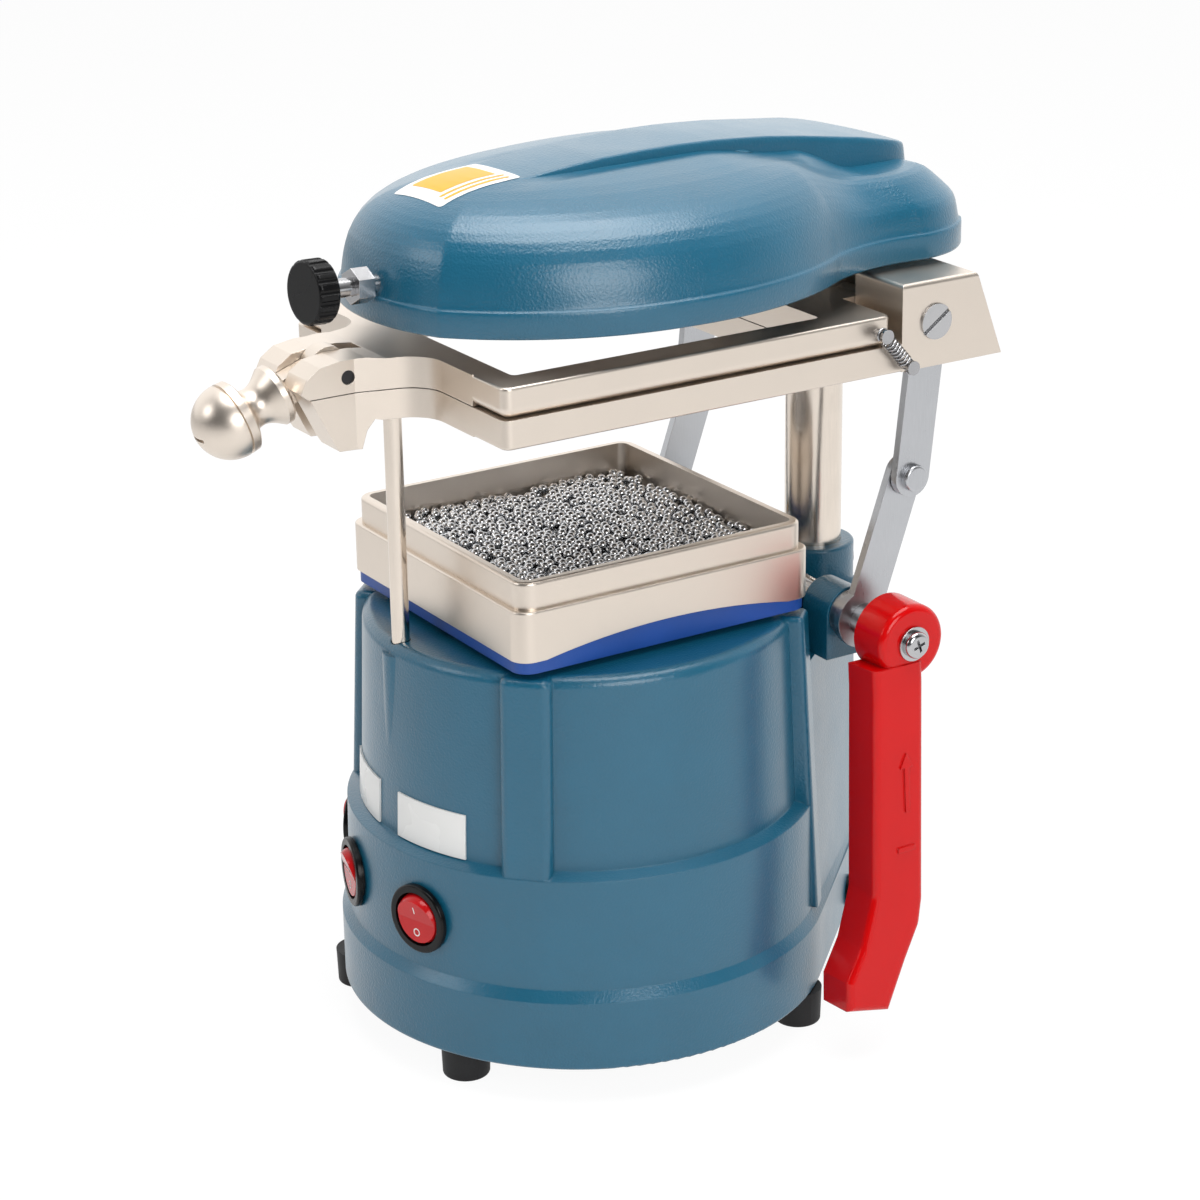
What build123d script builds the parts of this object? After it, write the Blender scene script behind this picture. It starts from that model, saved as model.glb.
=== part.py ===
from build123d import *
import os
from math import acos, atan2, cos, degrees, pi, radians, sin, sqrt, tan

# Dental vacuum former, in millimetres. +Z is up, the front faces -Y and the red lever is on +X.
# The origin lies on the table, under the centre of the round base and of the ball tray.

# ---------------------------------------------------------------- clearances
running_gap = 0.05       # radial, between a turning pin and its hole
sliding_gap = 0.08       # radial, between the post or rod and its bush
seat_gap = 0.02          # radial, between a fixed pin or bush and its seat
body_gap = 0.3           # between faces of pieces that move past each other

# ---------------------------------------------------------------- base housing
foot_height = 12.6
foot_radius = 8.4
wall = 3.0
top_wall = 4.0
band_top_z = 37.3        # top of the wide lower band
band_shoulder_z = 40.8   # end of the sloping shoulder above it
ledge_z = 79.6           # ledge under the recessed upper panels
ledge_rise = 1.6
base_top_z = 147.5
ledge_radius = 81.2
middle_radius = ledge_radius + 0.8
band_radius = middle_radius + 2.6
panel_radius = ledge_radius - 5.0       # recessed panels, at the ledge
panel_top_radius = panel_radius - 2.8
rib_top_radius = panel_top_radius + 3.8
# feet, as degrees from the front towards +X and how far inside the ledge's radius
foot_spots = [(24.444, 8.702), (128.774, 2.957), (-38.217, 0.379), (-128.774, 2.957)]
foot_places = [((ledge_radius - inset) * sin(radians(turn)), -(ledge_radius - inset) * cos(radians(turn)))
               for turn, inset in foot_spots]
rib_width = 17.0
base_round = 4.0
post_y = 97.9
lobe_radius = 17.0       # rear lobe round the post, at the table
lobe_top_radius = 14.4
shelf_z = 128.4          # flat on the rear lobe that carries the rear bracket
rear_wall_y = 66.0       # flat rear wall above the shelf
pilaster_width = 11.0
pilaster_stand = 2.0     # how far the two rear pilasters stand out of the middle band
base_plate_thickness = 2.5
base_screw_radius = 1.5
base_screw_places = [(0.0, 8.2 - ledge_radius), (ledge_radius - 10.2, 0.0), (10.2 - ledge_radius, 0.0),
                     (0.0, post_y + 8.6)]
foot_screw_radius = 2.0
foot_counterbore = 4.6
screw_head_height = 2.4
boss_radius = 5.0
boss_top_z = 32.0
gland_radius = 4.2
gland_flange = 1.6
gland_z = 20.5
gland_distance = 56.0    # along the rear wall, from where it leaves the round front
lower_cavity_top = 66.0
rear_cavity_y = 82.0     # the housing is solid round the post behind this
vent_count = 5
vent_width = 2.4
vent_height = 13.0
vent_pitch = 6.5
vent_z = 52.0
vent_start = 24.0

# ---------------------------------------------------------------- vacuum unit inside the base
turbine_radius = 60.0
turbine_height = 32.0
turbine_wall = 2.0
seal_thickness = 2.0
impeller_radius = 50.0
impeller_height = 16.0
motor_radius = 44.0
motor_height = 52.0
motor_wall = 3.0
rotor_radius = 24.0
rotor_shaft_radius = 4.0
bearing_radius = 11.0
bearing_height = 7.0
blade_count = 9
seal_low = base_top_z - top_wall - seal_thickness
turbine_low = seal_low - turbine_height
motor_high = turbine_low
motor_low = motor_high - motor_height
impeller_low = turbine_low + turbine_wall + 3.5

# ---------------------------------------------------------------- clamping frame on its carriage
frame_half = 69.0
frame_bar = 11.2         # width of the frame's side bars
frame_front_y = -67.4
frame_corner = 3.0
frame_edge = 1.0
opening_half = frame_half - frame_bar
opening_front_y = -57.6
opening_rear_y = 57.8
lower_bottom_z = 229.9
joint_z = 239.55         # plane of the clamped sheet
sheet_gap = 0.3
upper_top_z = 249.7
block_front_y = 82.8
block_top_z = 258.9
block_rear_top_y = 113.4
block_rear_bottom_y = 124.3
upper_rear_y = 78.5
hinge_y = 89.0
hinge_z = 245.4
hinge_pin_radius = 2.5
lug_width = 14.0
lug_x = 36.0
lug_radius = 5.2
neck_half = 16.0
neck_root_half = 22.0
neck_narrow_y = -90.0
neck_fillet = 12.0
slot_half = 3.6          # slot for the clamp handle's tongue
slot_rear_y = -80.5
handle_pivot_y = -92.2
handle_pivot_z = 244.9
handle_pin_radius = 2.3
rod_y = -68.75
rod_radius = 3.0
rod_bottom_z = 127.0
guide_bush_radius = rod_radius + sliding_gap + 1.5
guide_bush_drop = 16.0   # how far the bush reaches below the rod's end
rod_boss_wall = 4.4
post_radius = 10.0
post_bore_radius = 6.0
post_bottom_z = 70.0
post_bush_wall = 2.5
hinge_pin_start_x = 22.0
hinge_pin_end_x = 50.0
peg_radius = 1.5
peg_root_x = frame_half - 4.8
peg_end_x = frame_half + 5.6
upper_peg = (72.8, 244.6)
lower_peg = (83.6, 232.4)
spring_x = frame_half + 2.9
wire_radius = 0.45
coil_radius = 2.1
coil_turns = 7
coil_start = 2.9         # from the peg's centre to the first curl
hook_radius = peg_radius + wire_radius + 0.1

# ---------------------------------------------------------------- suction box and ball tray
box_half = opening_half - 1.0
suction_hole_radius = box_half - 14.8
box_corner = 6.0
box_wall = 2.6
box_bottom_z = 153.9
box_top_z = 171.0
box_floor = 3.0
box_arch = 4.3           # how far the lower edge arches up at the two sides
box_arch_half = box_half - 9.8
gasket_drop = 0.8        # how far the gasket stays inside the box's outline
gasket_height = 4.2
pad_half = box_half - 7.8          # raised pad on the base that carries the gasket
pad_corner = 5.0
tray_half = opening_half - 2.8
tray_corner = 6.0
tray_wall = 3.0
tray_top_z = 180.1
tray_floor = 2.0
tray_depth = 18.0        # rim to the floor's top
bed_top_z = 172.5
screen_radius = box_half - 9.8
screen_thickness = 1.2
screen_hole_radius = 2.2
screen_pitch = 9.0
screen_rings = 4
air_hole_radius = 1.6
air_hole_pitch = 13.0
air_hole_rows = 7

# ---------------------------------------------------------------- lever, cranks and links
shaft_y = 73.3
shaft_z = 144.0
shaft_radius = 5.5
pin_y = 90.3             # pin between crank and link
pin_z = 191.8
link_top_y = 96.5        # link pivot in the rear block
link_top_z = 245.0
crank_thickness = 3.0
link_thickness = 3.0
cheek = 2.2              # wall of the block left outside each link
link_outer_x = frame_half - cheek - body_gap
link_inner_x = link_outer_x - link_thickness
crank_link_gap = 0.5
crank_inner_x = link_inner_x - crank_link_gap - crank_thickness
link_half_width = 6.8
crank_hub_radius = 10.0
link_pin_radius = 3.0
hub_inner_x = frame_half + 6.4
lever_thickness = 15.0
lever_hub_radius = 13.0
lever_splay = 0.0805     # outward lean of the lever arm, per mm below the shaft
lever_edge = 2.5
lever_outer_x = hub_inner_x + lever_thickness
lever_screw_radius = 2.5
washer_radius = 5.9
washer_thickness = 1.0
shaft_left_x = -(crank_inner_x + crank_thickness + 1.5)
shaft_right_x = hub_inner_x + 10.0
link_swing_space = 0.4
link_screw_radius = 4.0
link_screw_head = 6.0
link_screw_end_x = link_inner_x - 13.5
bearing_outer_x = crank_inner_x - 5.0
bearing_inner_x = bearing_outer_x - 14.0
bearing_block_radius = 9.0
bracket_front_y = 67.3
bracket_rear_y = 112.0
arm_top_z = 134.5
socket_radius = 14.6
socket_top_z = 150.0
bush_wall = 2.0
shaft_bush_radius = shaft_radius + running_gap + bush_wall
bracket_bolt_radius = 2.0
bracket_bolt_places = [(-24.0, 74.0), (24.0, 74.0)]
set_screw_angles = (60.0, 120.0)
set_screw_z = 143.0
# outline of the lever arm and its raised marks, as (y, z) places
lever_outline = [(57.6, 136.0), (57.6, 128.0), (54.5, 57.6), (49.1, 40.6), (42.7, 29.4), (42.3, 19.1),
                 (59.2, 15.3), (67.1, 31.9), (73.2, 43.4), (74.8, 52.2), (77.6, 129.0), (77.6, 136.0)]
arrow_middle = (68.7, 95.3)
arrow_half = 10.3
bar_middle = (67.7, 72.0)
emboss = 0.7

# ---------------------------------------------------------------- clamp handle
handle_drop = 20.0       # degrees below level when clamped
bell_start = 17.0
handle_end = 47.8
ball_radius = 12.2
tongue_radius = 7.0
tongue_half_height = 4.6
stud_core = 3.5
stud_reach = 33.0

# ---------------------------------------------------------------- heater
heater_bottom_z = block_top_z + 2.1
skirt_height = 8.6
skirt_step = 1.2
heater_wall = 2.0
heater_turn = 5.0        # degrees the heater is swung about the post, front towards +X
heater_half = 67.8
heater_reach = 150.0     # sets how much less the two ends are drawn in than the sides
heater_centre_y = 30.0
# the dome's outline is drawn in by a factor at each height above the skirt
dome = [(1.0, 0.0), (0.988, 5.0), (0.965, 10.8), (0.92, 16.8), (0.84, 22.0), (0.73, 25.6), (0.60, 28.0),
        (0.40, 30.0)]
# ridge of the raised spine and tops of the dome's middle and tail, as (y, height above the bottom)
spine_ridge = [(-40.0, 36.0), (-30.0, 39.0), (-10.0, 42.0), (20.0, 43.2), (40.0, 42.5), (60.0, 40.6),
               (76.0, 39.0), (98.0, 36.0), (108.0, 34.4), (115.0, 31.4), (120.0, 26.4)]
tail_top = [(54.0, 41.0), (82.0, 27.0), (130.0, 27.0)]
spine_low = 23.0
spine_high = 43.5
roof_inside = 36.5
hub_flange_radius = 24.0
hub_top_z = heater_bottom_z + 21.0
hub_screw_places = (-18.0, 18.0)
reflector_z = heater_bottom_z + 22.0
reflector_thickness = 1.2
reflector_radius = heater_half - 9.5
reflector_y = -5.4
hub_screw_radius = 1.5
hub_boss_radius = 4.4
stud_boss_radius = 3.0
stud_places = [(-42.0, -28.0), (42.0, -28.0), (-42.0, 22.0), (42.0, 22.0)]
element_radius = 3.2
element_z = heater_bottom_z + 11.0
element_pitch = 14.0
insulation_radius = reflector_radius - 6.0
insulation_height = 6.0
element_half_turns = 7
element_first_radius = 8.0
element_rise_radius = 7.0
post_shoulder_z = heater_bottom_z + 1.0
post_top_z = heater_bottom_z + 17.0
post_tip_radius = post_radius - 2.0
knob_lean = (0.0, -0.999, 0.05)
stud_start = (0.0, -83.0, heater_bottom_z + 12.3)
stud_radius = 3.0
nut_flats = 10.0
knob_radius = 10.2
knob_start = 17.6        # along the stud
knob_length = 7.4
knob_flutes = 18

# ---------------------------------------------------------------- switches and plates
switch_angles = (17.0, -14.0, -45.0)   # degrees round the base from the front, towards +X
switch_z = 58.5
bezel_radius = 12.0
bezel_body_radius = 10.4
bezel_bore_radius = 9.4
bezel_depth = 15.0
rocker_depth = 1.5       # pivot line behind the wall's surface
rocker_tilt = 8.0
label_angles = (16.8, -15.8)
label_half_angle = 11.6
label_low_z = 81.5
label_high_z = 97.0


def save(shape, node):
    export_step(shape, f"parts/{node}.step")


def tube_z(outer, inner, low, high, x=0.0, y=0.0):
    """Upright ring between two heights."""
    ring = Pos(x, y, (low + high) / 2) * Cylinder(outer, high - low)
    if inner > 0:
        ring -= Pos(x, y, (low + high) / 2) * Cylinder(inner, high - low + 2)
    return ring


def tube_x(outer, inner, start, end, y, z):
    """Ring along X between two places."""
    middle = (start + end) / 2
    length = abs(end - start)
    ring = Pos(middle, y, z) * Rot(0, 90, 0) * Cylinder(outer, length)
    if inner > 0:
        ring -= Pos(middle, y, z) * Rot(0, 90, 0) * Cylinder(inner, length + 2)
    return ring


def block(x0, x1, y0, y1, z0, z1):
    """Box between corner values."""
    return Pos((x0 + x1) / 2, (y0 + y1) / 2, (z0 + z1) / 2) * Box(x1 - x0, y1 - y0, z1 - z0)


def side_plate(points, x0, x1):
    """Plate with its outline in the Y-Z plane, between two X values."""
    outline = Polyline(*[(y, z) for y, z in points], close=True)
    face = make_face(outline)
    return Pos(x0, 0, 0) * Plane.YZ.location * extrude(face, x1 - x0)


def spun(points, location):
    """Solid turned about the local Z axis from (radius, height) points."""
    face = make_face(Polyline(*points, close=True))
    return location * revolve(Plane.XZ.location * face, Axis.Z)


def teardrop(radius, lobe, z):
    """Plan outline: the round base joined by tangents to the lobe round the post."""
    lean = acos((radius - lobe) / post_y)
    ax, ay = radius * sin(lean), radius * cos(lean)
    bx, by = lobe * sin(lean), post_y + lobe * cos(lean)
    front = ThreePointArc((ax, ay), (0, -radius), (-ax, ay))
    left = Line((-ax, ay), (-bx, by))
    rear = ThreePointArc((-bx, by), (0, post_y + lobe), (bx, by))
    right = Line((bx, by), (ax, ay))
    return Pos(0, 0, z) * make_face(front + left + rear + right)


def lerp(a, b, t):
    return a + (b - a) * t


def envelope_radius(z):
    """Radius of the drafted outside above the ledge."""
    return lerp(ledge_radius, rib_top_radius, (z - ledge_z) / (base_top_z - ledge_z))


def envelope_lobe(z):
    return lerp(lobe_radius, lobe_top_radius, (z - foot_height) / (base_top_z - foot_height))


def drafted(low, high, inset=0.0, radii=None):
    """Teardrop body between two heights, leaning in as it rises."""
    r0, r1 = radii if radii else (envelope_radius(low), envelope_radius(high))
    faces = [
        teardrop(r0 - inset, envelope_lobe(low) - inset, low),
        teardrop(r1 - inset, envelope_lobe(high) - inset, high),
    ]
    return loft(faces, ruled=True)


def cone(r0, r1, low, high):
    return Pos(0, 0, (low + high) / 2) * Cone(r0, r1, high - low)


def panel_at(z):
    return lerp(panel_radius, panel_top_radius, (z - ledge_z) / (base_top_z - ledge_z))


def upright_bar(angle, reach0, reach1, width, low, high, rounding):
    """Rib that stands out of the round wall at an angle from +X, in degrees."""
    inner = panel_top_radius - 12
    faces = []
    for reach, z in ((reach0, low), (reach1, high)):
        sketch = Pos((inner + reach) / 2, 0, z) * Rectangle(reach - inner, width)
        faces.append(sketch)
    bar = loft(faces, ruled=True)
    outer = bar.edges().filter_by(lambda e: e.center().X > reach1 - 8)
    long_edges = [e for e in outer if abs(e.center().Y) > width / 4 and e.length > 20]
    bar = fillet(long_edges, rounding)
    top = bar.faces().sort_by(Axis.Z)[-1]
    top_edges = [e for e in top.edges() if e.center().X > inner + 2]
    bar = fillet(top_edges, rounding * 0.8)
    return Rot(0, 0, angle) * bar


def base_housing():
    low = foot_height
    body = extrude(teardrop(band_radius, lobe_radius, low), band_top_z - low)
    bottom_edges = body.edges().group_by(Axis.Z)[0]
    body = fillet(bottom_edges, 1.5)
    body += drafted(band_top_z, band_shoulder_z, radii=(band_radius, middle_radius))
    body += drafted(band_shoulder_z, ledge_z, radii=(middle_radius, ledge_radius))
    ledge_high = ledge_z + ledge_rise
    body += cone(ledge_radius, panel_at(ledge_high), ledge_z, ledge_high)
    core = cone(panel_at(ledge_z), panel_top_radius, ledge_z, base_top_z)
    core = fillet(core.edges().group_by(Axis.Z)[-1], base_round)
    rear = drafted(ledge_z, shelf_z)
    wedge = Pos(0, 0, ledge_z) * make_face(Polyline((0, 0), (150, 150), (-150, 150), close=True))
    rear = rear & extrude(wedge, base_top_z)
    core -= block(-100, 100, rear_wall_y, 150, shelf_z, base_top_z + 10)
    body += core
    body += rear
    for angle in (-45, -135):
        body += upright_bar(angle, ledge_radius - 0.4, rib_top_radius, rib_width, ledge_z, base_top_z, 3.0)
    for angle in (45, 135):
        body += upright_bar(angle, middle_radius + pilaster_stand, rib_top_radius + 1, pilaster_width,
                            band_shoulder_z, base_top_z, 2.0)
    body += rounded_slab(pad_half, pad_corner, base_top_z - top_wall + 1, box_bottom_z - gasket_height)
    inside = drafted(low - 1, lower_cavity_top, wall, (ledge_radius, ledge_radius))
    upper_low, upper_high = lower_cavity_top - 5, base_top_z - top_wall
    upper_in = cone(panel_at(upper_low) - wall, panel_at(upper_high) - wall, upper_low, upper_high)
    upper_in -= block(-100, 100, rear_wall_y - wall, 150, shelf_z - top_wall, base_top_z + 10)
    rear_low, rear_high = lower_cavity_top - 6, shelf_z - top_wall
    rear_points = [(-46, 46), (46, 46), (26, rear_cavity_y), (-26, rear_cavity_y)]
    rear_in = make_face(Polyline(*rear_points, close=True))
    rear_in = extrude(Pos(0, 0, rear_low) * rear_in, rear_high - rear_low)
    body -= inside
    body -= upper_in
    body -= rear_in
    bush_low = rod_bottom_z - guide_bush_drop
    body += tube_z(rod_radius + rod_boss_wall, 0, bush_low, base_top_z - top_wall, 0, rod_y + 1.2)
    body -= Pos(0, 0, base_top_z) * Cylinder(suction_hole_radius, 30)
    body -= Pos(0, rod_y, base_top_z) * Cylinder(rod_radius + body_gap, 30)
    body -= tube_z(guide_bush_radius + seat_gap, 0, bush_low - 4, base_top_z - 3, 0, rod_y)
    body -= tube_z(post_radius + seat_gap, 0, post_bottom_z, shelf_z + 5, 0, post_y)
    body -= tube_z(post_bore_radius, 0, post_bottom_z - 10, post_bottom_z + 1, 0, post_y)
    for x, y in base_screw_places + foot_places:
        boss = tube_z(boss_radius, 0, foot_height + base_plate_thickness, boss_top_z, x, y)
        body += boss & drafted(low - 1, post_bottom_z, 1.0, (ledge_radius, ledge_radius))
    for x, y in base_screw_places:
        body -= tube_z(base_screw_radius + seat_gap, 0, low - 1, boss_top_z - 4, x, y)
    for x, y in foot_places:
        body -= tube_z(foot_screw_radius + seat_gap, 0, low - 1, boss_top_z - 4, x, y)
    for angle in switch_angles:
        hole = switch_place(angle) * Cylinder(bezel_body_radius + seat_gap, 30)
        body -= hole
    for i in range(vent_count):
        body -= vent_cutter(i)
    body -= gland_place() * Cylinder(gland_radius + seat_gap, 20)
    for x, y in bracket_bolt_places:
        body -= tube_z(bracket_bolt_radius, 0, shelf_z - 12, shelf_z + 1, x, y)
    return body


def switch_place(angle):
    """Local frame on the middle band: Z points outward, Y points up."""
    turn = radians(angle)
    r = middle_radius - 0.4
    origin = (r * sin(turn), -r * cos(turn), switch_z)
    return Plane(origin, x_dir=(cos(turn), sin(turn), 0), z_dir=(sin(turn), -cos(turn), 0)).location


def tangent_wall(z):
    """Start, direction and outward normal of the +X tangent wall at a height."""
    radius = lerp(middle_radius, ledge_radius, (z - band_shoulder_z) / (ledge_z - band_shoulder_z))
    lobe = envelope_lobe(z)
    lean = acos((radius - lobe) / post_y)
    start = (radius * sin(lean), radius * cos(lean))
    along = (-cos(lean), sin(lean))
    normal = (sin(lean), cos(lean))
    return start, along, normal


def vent_cutter(index):
    """Upright slot through the rear wall on the -X side."""
    start, along, normal = tangent_wall(vent_z)
    distance = vent_start + index * vent_pitch
    x = start[0] + along[0] * distance
    y = start[1] + along[1] * distance
    plane = Plane((-x, y, vent_z), x_dir=(0, 0, 1), z_dir=(-normal[0], normal[1], 0))
    return extrude(plane * SlotOverall(vent_height, vent_width), 8, both=True)


def gland_place():
    """Local frame on the lower band's rear wall on the +X side: Z points outward."""
    lean = acos((band_radius - lobe_radius) / post_y)
    x = band_radius * sin(lean) - cos(lean) * gland_distance
    y = band_radius * cos(lean) + sin(lean) * gland_distance
    return Plane((x, y, gland_z), x_dir=(0, 0, 1), z_dir=(sin(lean), cos(lean), 0)).location


def base_plate():
    inset = wall + 0.15
    plate = extrude(teardrop(ledge_radius - inset, lobe_radius - inset, foot_height), base_plate_thickness)
    for x, y in base_screw_places:
        plate -= Pos(x, y, foot_height) * Cylinder(base_screw_radius + seat_gap, 20)
    for x, y in foot_places:
        plate -= Pos(x, y, foot_height) * Cylinder(foot_screw_radius + seat_gap, 20)
    low = foot_height + base_plate_thickness
    for i in range(3):
        column = tube_z(4.0, 0, low, turbine_low, motor_radius + 8.0, 0)
        plate += Rot(0, 0, 30 + i * 120) * column
    return plate


def base_plate_screws():
    screws = []
    for x, y in base_screw_places:
        head = tube_z(base_screw_radius * 2, 0, foot_height - screw_head_height, foot_height, x, y)
        shank = tube_z(base_screw_radius, 0, foot_height, foot_height + 12, x, y)
        slot = Pos(x, y, foot_height - screw_head_height) * Box(base_screw_radius * 4, 0.8, 1.6)
        screws.append(head + shank - slot)
    return Compound(children=screws)


def rubber_feet():
    feet = []
    for x, y in foot_places:
        foot = Pos(x, y, foot_height / 2) * Cone(foot_radius - 0.4, foot_radius, foot_height)
        foot = fillet(foot.edges().group_by(Axis.Z)[0], 1.0)
        foot -= tube_z(foot_screw_radius * 2 + 0.4, 0, -1, foot_counterbore, x, y)
        foot -= tube_z(foot_screw_radius + seat_gap, 0, -1, foot_height + 1, x, y)
        feet.append(foot)
    return Compound(children=feet)


def feet_screws():
    screws = []
    for x, y in foot_places:
        head_low = foot_counterbore - screw_head_height
        head = tube_z(foot_screw_radius * 2, 0, head_low, foot_counterbore, x, y)
        shank = tube_z(foot_screw_radius, 0, foot_counterbore, foot_height + 12, x, y)
        slot = Pos(x, y, head_low) * Box(foot_screw_radius * 5, 1.0, 2.0)
        screws.append(head + shank - slot)
    return Compound(children=screws)


# ---------------------------------------------------------------- vacuum unit

def turbine_seal():
    return tube_z(turbine_radius - 3, suction_hole_radius + 2, seal_low, base_top_z - top_wall)


def turbine_housing():
    shell = tube_z(turbine_radius, 0, turbine_low, seal_low)
    shell -= tube_z(turbine_radius - turbine_wall, 0, turbine_low + turbine_wall, seal_low - turbine_wall)
    shell -= tube_z(22.0, 0, seal_low - 10, seal_low + 1)
    shell -= tube_z(rotor_shaft_radius + 2, 0, turbine_low - 1, turbine_low + 10)
    for i in range(6):
        window = Pos(turbine_radius, 0, turbine_low + turbine_height / 2) * Box(10, 12, 14)
        shell -= Rot(0, 0, i * 60) * window
    return shell


def vacuum_motor():
    can = tube_z(motor_radius, motor_radius - motor_wall, motor_low, motor_high)
    for low, high in ((motor_low, motor_low + motor_wall), (motor_high - motor_wall, motor_high)):
        can += tube_z(motor_radius, rotor_shaft_radius + 2, low, high)
    seat = bearing_radius + seat_gap
    bottom = motor_low + motor_wall
    top = motor_high - motor_wall
    can += tube_z(seat + 3, seat, bottom, bottom + bearing_height)
    can += tube_z(seat + 3, seat, top - bearing_height, top)
    can += tube_z(motor_radius - 1, rotor_radius + 0.6, bottom + 12, top - 12)
    return can


def motor_bearings():
    inner = rotor_shaft_radius + running_gap
    bottom = motor_low + motor_wall
    top = motor_high - motor_wall
    lower = tube_z(bearing_radius, inner, bottom, bottom + bearing_height)
    upper = tube_z(bearing_radius, inner, top - bearing_height, top)
    return Compound(children=[lower, upper])


def turbine_rotor():
    shaft = tube_z(rotor_shaft_radius, 0, motor_low + 1, impeller_low + impeller_height)
    core_low = motor_low + motor_wall + 13
    core_high = motor_high - motor_wall - 13
    rotor = shaft + tube_z(rotor_radius, 0, core_low, core_high)
    rotor += tube_z(impeller_radius, 0, impeller_low, impeller_low + 1.6)
    rotor += tube_z(9.0, 0, impeller_low, impeller_low + impeller_height)
    blade_length = impeller_radius - 8
    for i in range(blade_count):
        blade = Pos(8 + blade_length / 2, 0, impeller_low + impeller_height / 2)
        blade = blade * Box(blade_length, 1.6, impeller_height)
        rotor += Rot(0, 0, i * 360 / blade_count) * blade
    return rotor


# ---------------------------------------------------------------- post, bracket and lever shaft

def post():
    tube = tube_z(post_radius, 0, post_bottom_z, post_shoulder_z, 0, post_y)
    tube += tube_z(post_tip_radius, 0, post_shoulder_z, post_top_z, 0, post_y)
    tube -= tube_z(post_bore_radius, 0, post_bottom_z - 1, post_top_z + 1, 0, post_y)
    return tube


def rear_bracket():
    outline = Polyline(
        (-bearing_outer_x, bracket_front_y), (bearing_outer_x, bracket_front_y),
        (bearing_outer_x, bracket_front_y + 28), (22, bracket_rear_y), (-22, bracket_rear_y),
        (-bearing_outer_x, bracket_front_y + 28), close=True)
    plate = extrude(Pos(0, 0, shelf_z) * make_face(outline), arm_top_z - shelf_z)
    upright = plate.edges().filter_by(Axis.Z)
    bracket = fillet(upright, 3.0)
    socket = tube_z(socket_radius, 0, shelf_z, socket_top_z, 0, post_y)
    bracket += fillet(socket.edges().group_by(Axis.Z)[-1], 1.2)
    front = shaft_y - bearing_block_radius
    rear = shaft_y + bearing_block_radius
    for side in (1, -1):
        x0, x1 = sorted((side * bearing_inner_x, side * bearing_outer_x))
        post_block = block(x0, x1, front, rear, shelf_z, shaft_z)
        post_block += tube_x(bearing_block_radius, 0, x0, x1, shaft_y, shaft_z)
        bracket += post_block
        bracket -= tube_x(shaft_bush_radius + seat_gap, 0, x0 - 1, x1 + 1, shaft_y, shaft_z)
    bracket -= tube_z(post_radius + seat_gap, 0, shelf_z - 1, socket_top_z + 1, 0, post_y)
    for x, y in bracket_bolt_places:
        bracket -= tube_z(bracket_bolt_radius + seat_gap, 0, shelf_z - 1, arm_top_z + 1, x, y)
    for angle in set_screw_angles:
        bracket -= set_screw(angle, seat_gap)
    return bracket


def set_screw(angle, extra=0.0):
    """Grub screw through the socket's wall, at an angle from +X."""
    start = post_radius + seat_gap
    middle = (start + socket_radius) / 2
    screw = Pos(middle, 0, 0) * Rot(0, 90, 0) * Cylinder(2.0 + extra, socket_radius - start + 4 * extra)
    if extra == 0:
        screw -= Pos(socket_radius, 0, 0) * Rot(0, 90, 0) * Cylinder(1.0, 3.0)
    return Pos(0, post_y, set_screw_z) * Rot(0, 0, angle) * screw


def post_set_screws():
    return Compound(children=[set_screw(angle) for angle in set_screw_angles])


def bracket_bolts():
    bolts = []
    for x, y in bracket_bolt_places:
        head = tube_z(bracket_bolt_radius * 1.9, 0, arm_top_z, arm_top_z + 3.2, x, y)
        head -= tube_z(1.5, 0, arm_top_z + 1.4, arm_top_z + 4, x, y)
        bolts.append(head + tube_z(bracket_bolt_radius, 0, shelf_z - 9, arm_top_z, x, y))
    return Compound(children=bolts)


def shaft_bushes():
    inner = shaft_radius + running_gap
    bushes = []
    for side in (1, -1):
        start = side * bearing_inner_x
        end = side * bearing_outer_x
        bushes.append(tube_x(shaft_bush_radius, inner, start, end, shaft_y, shaft_z))
    return Compound(children=bushes)


def guide_bush():
    low = rod_bottom_z - guide_bush_drop
    return tube_z(guide_bush_radius, rod_radius + sliding_gap, low, base_top_z - 3, 0, rod_y)


def heater_lead():
    return tube_z(3.5, 0, post_bottom_z - 8, post_top_z + 0.5, 0, post_y)


def cable_gland():
    depth = band_radius - ledge_radius + wall
    flange = Pos(0, 0, gland_flange / 2) * Cylinder(gland_radius + 1.4, gland_flange)
    flange = fillet(flange.edges().group_by(Axis.Z)[-1], 0.6)
    body = Pos(0, 0, -depth / 2) * Cylinder(gland_radius, depth)
    return gland_place() * (flange + body - Cylinder(gland_radius - 1.2, 60))


# ---------------------------------------------------------------- suction box and ball tray

def rounded_slab(half, corner, low, high):
    """Square slab with rounded corners, between two heights."""
    return extrude(Pos(0, 0, low) * RectangleRounded(2 * half, 2 * half, corner), high - low)


def side_arches(extra=0.0):
    """Low arches through the two side walls of the suction box."""
    base = Line((-box_arch_half, box_bottom_z), (box_arch_half, box_bottom_z))
    crown = ThreePointArc((box_arch_half, box_bottom_z), (0, box_bottom_z + box_arch + extra),
                          (-box_arch_half, box_bottom_z))
    outline = make_face(base + crown)
    return extrude(Plane.YZ * outline, box_half + 5, both=True)


def box_gasket():
    low = box_bottom_z - gasket_height
    half = box_half - gasket_drop
    ring = rounded_slab(half, box_corner, low, box_bottom_z)
    ring -= tube_z(suction_hole_radius, 0, low - 1, box_bottom_z + 1)
    lip = side_arches() & (rounded_slab(half, box_corner, box_bottom_z, box_bottom_z + box_arch + 1)
                           - rounded_slab(box_half - box_wall, box_corner - box_wall, box_bottom_z - 1,
                                          box_bottom_z + box_arch + 2))
    return ring + lip


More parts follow.
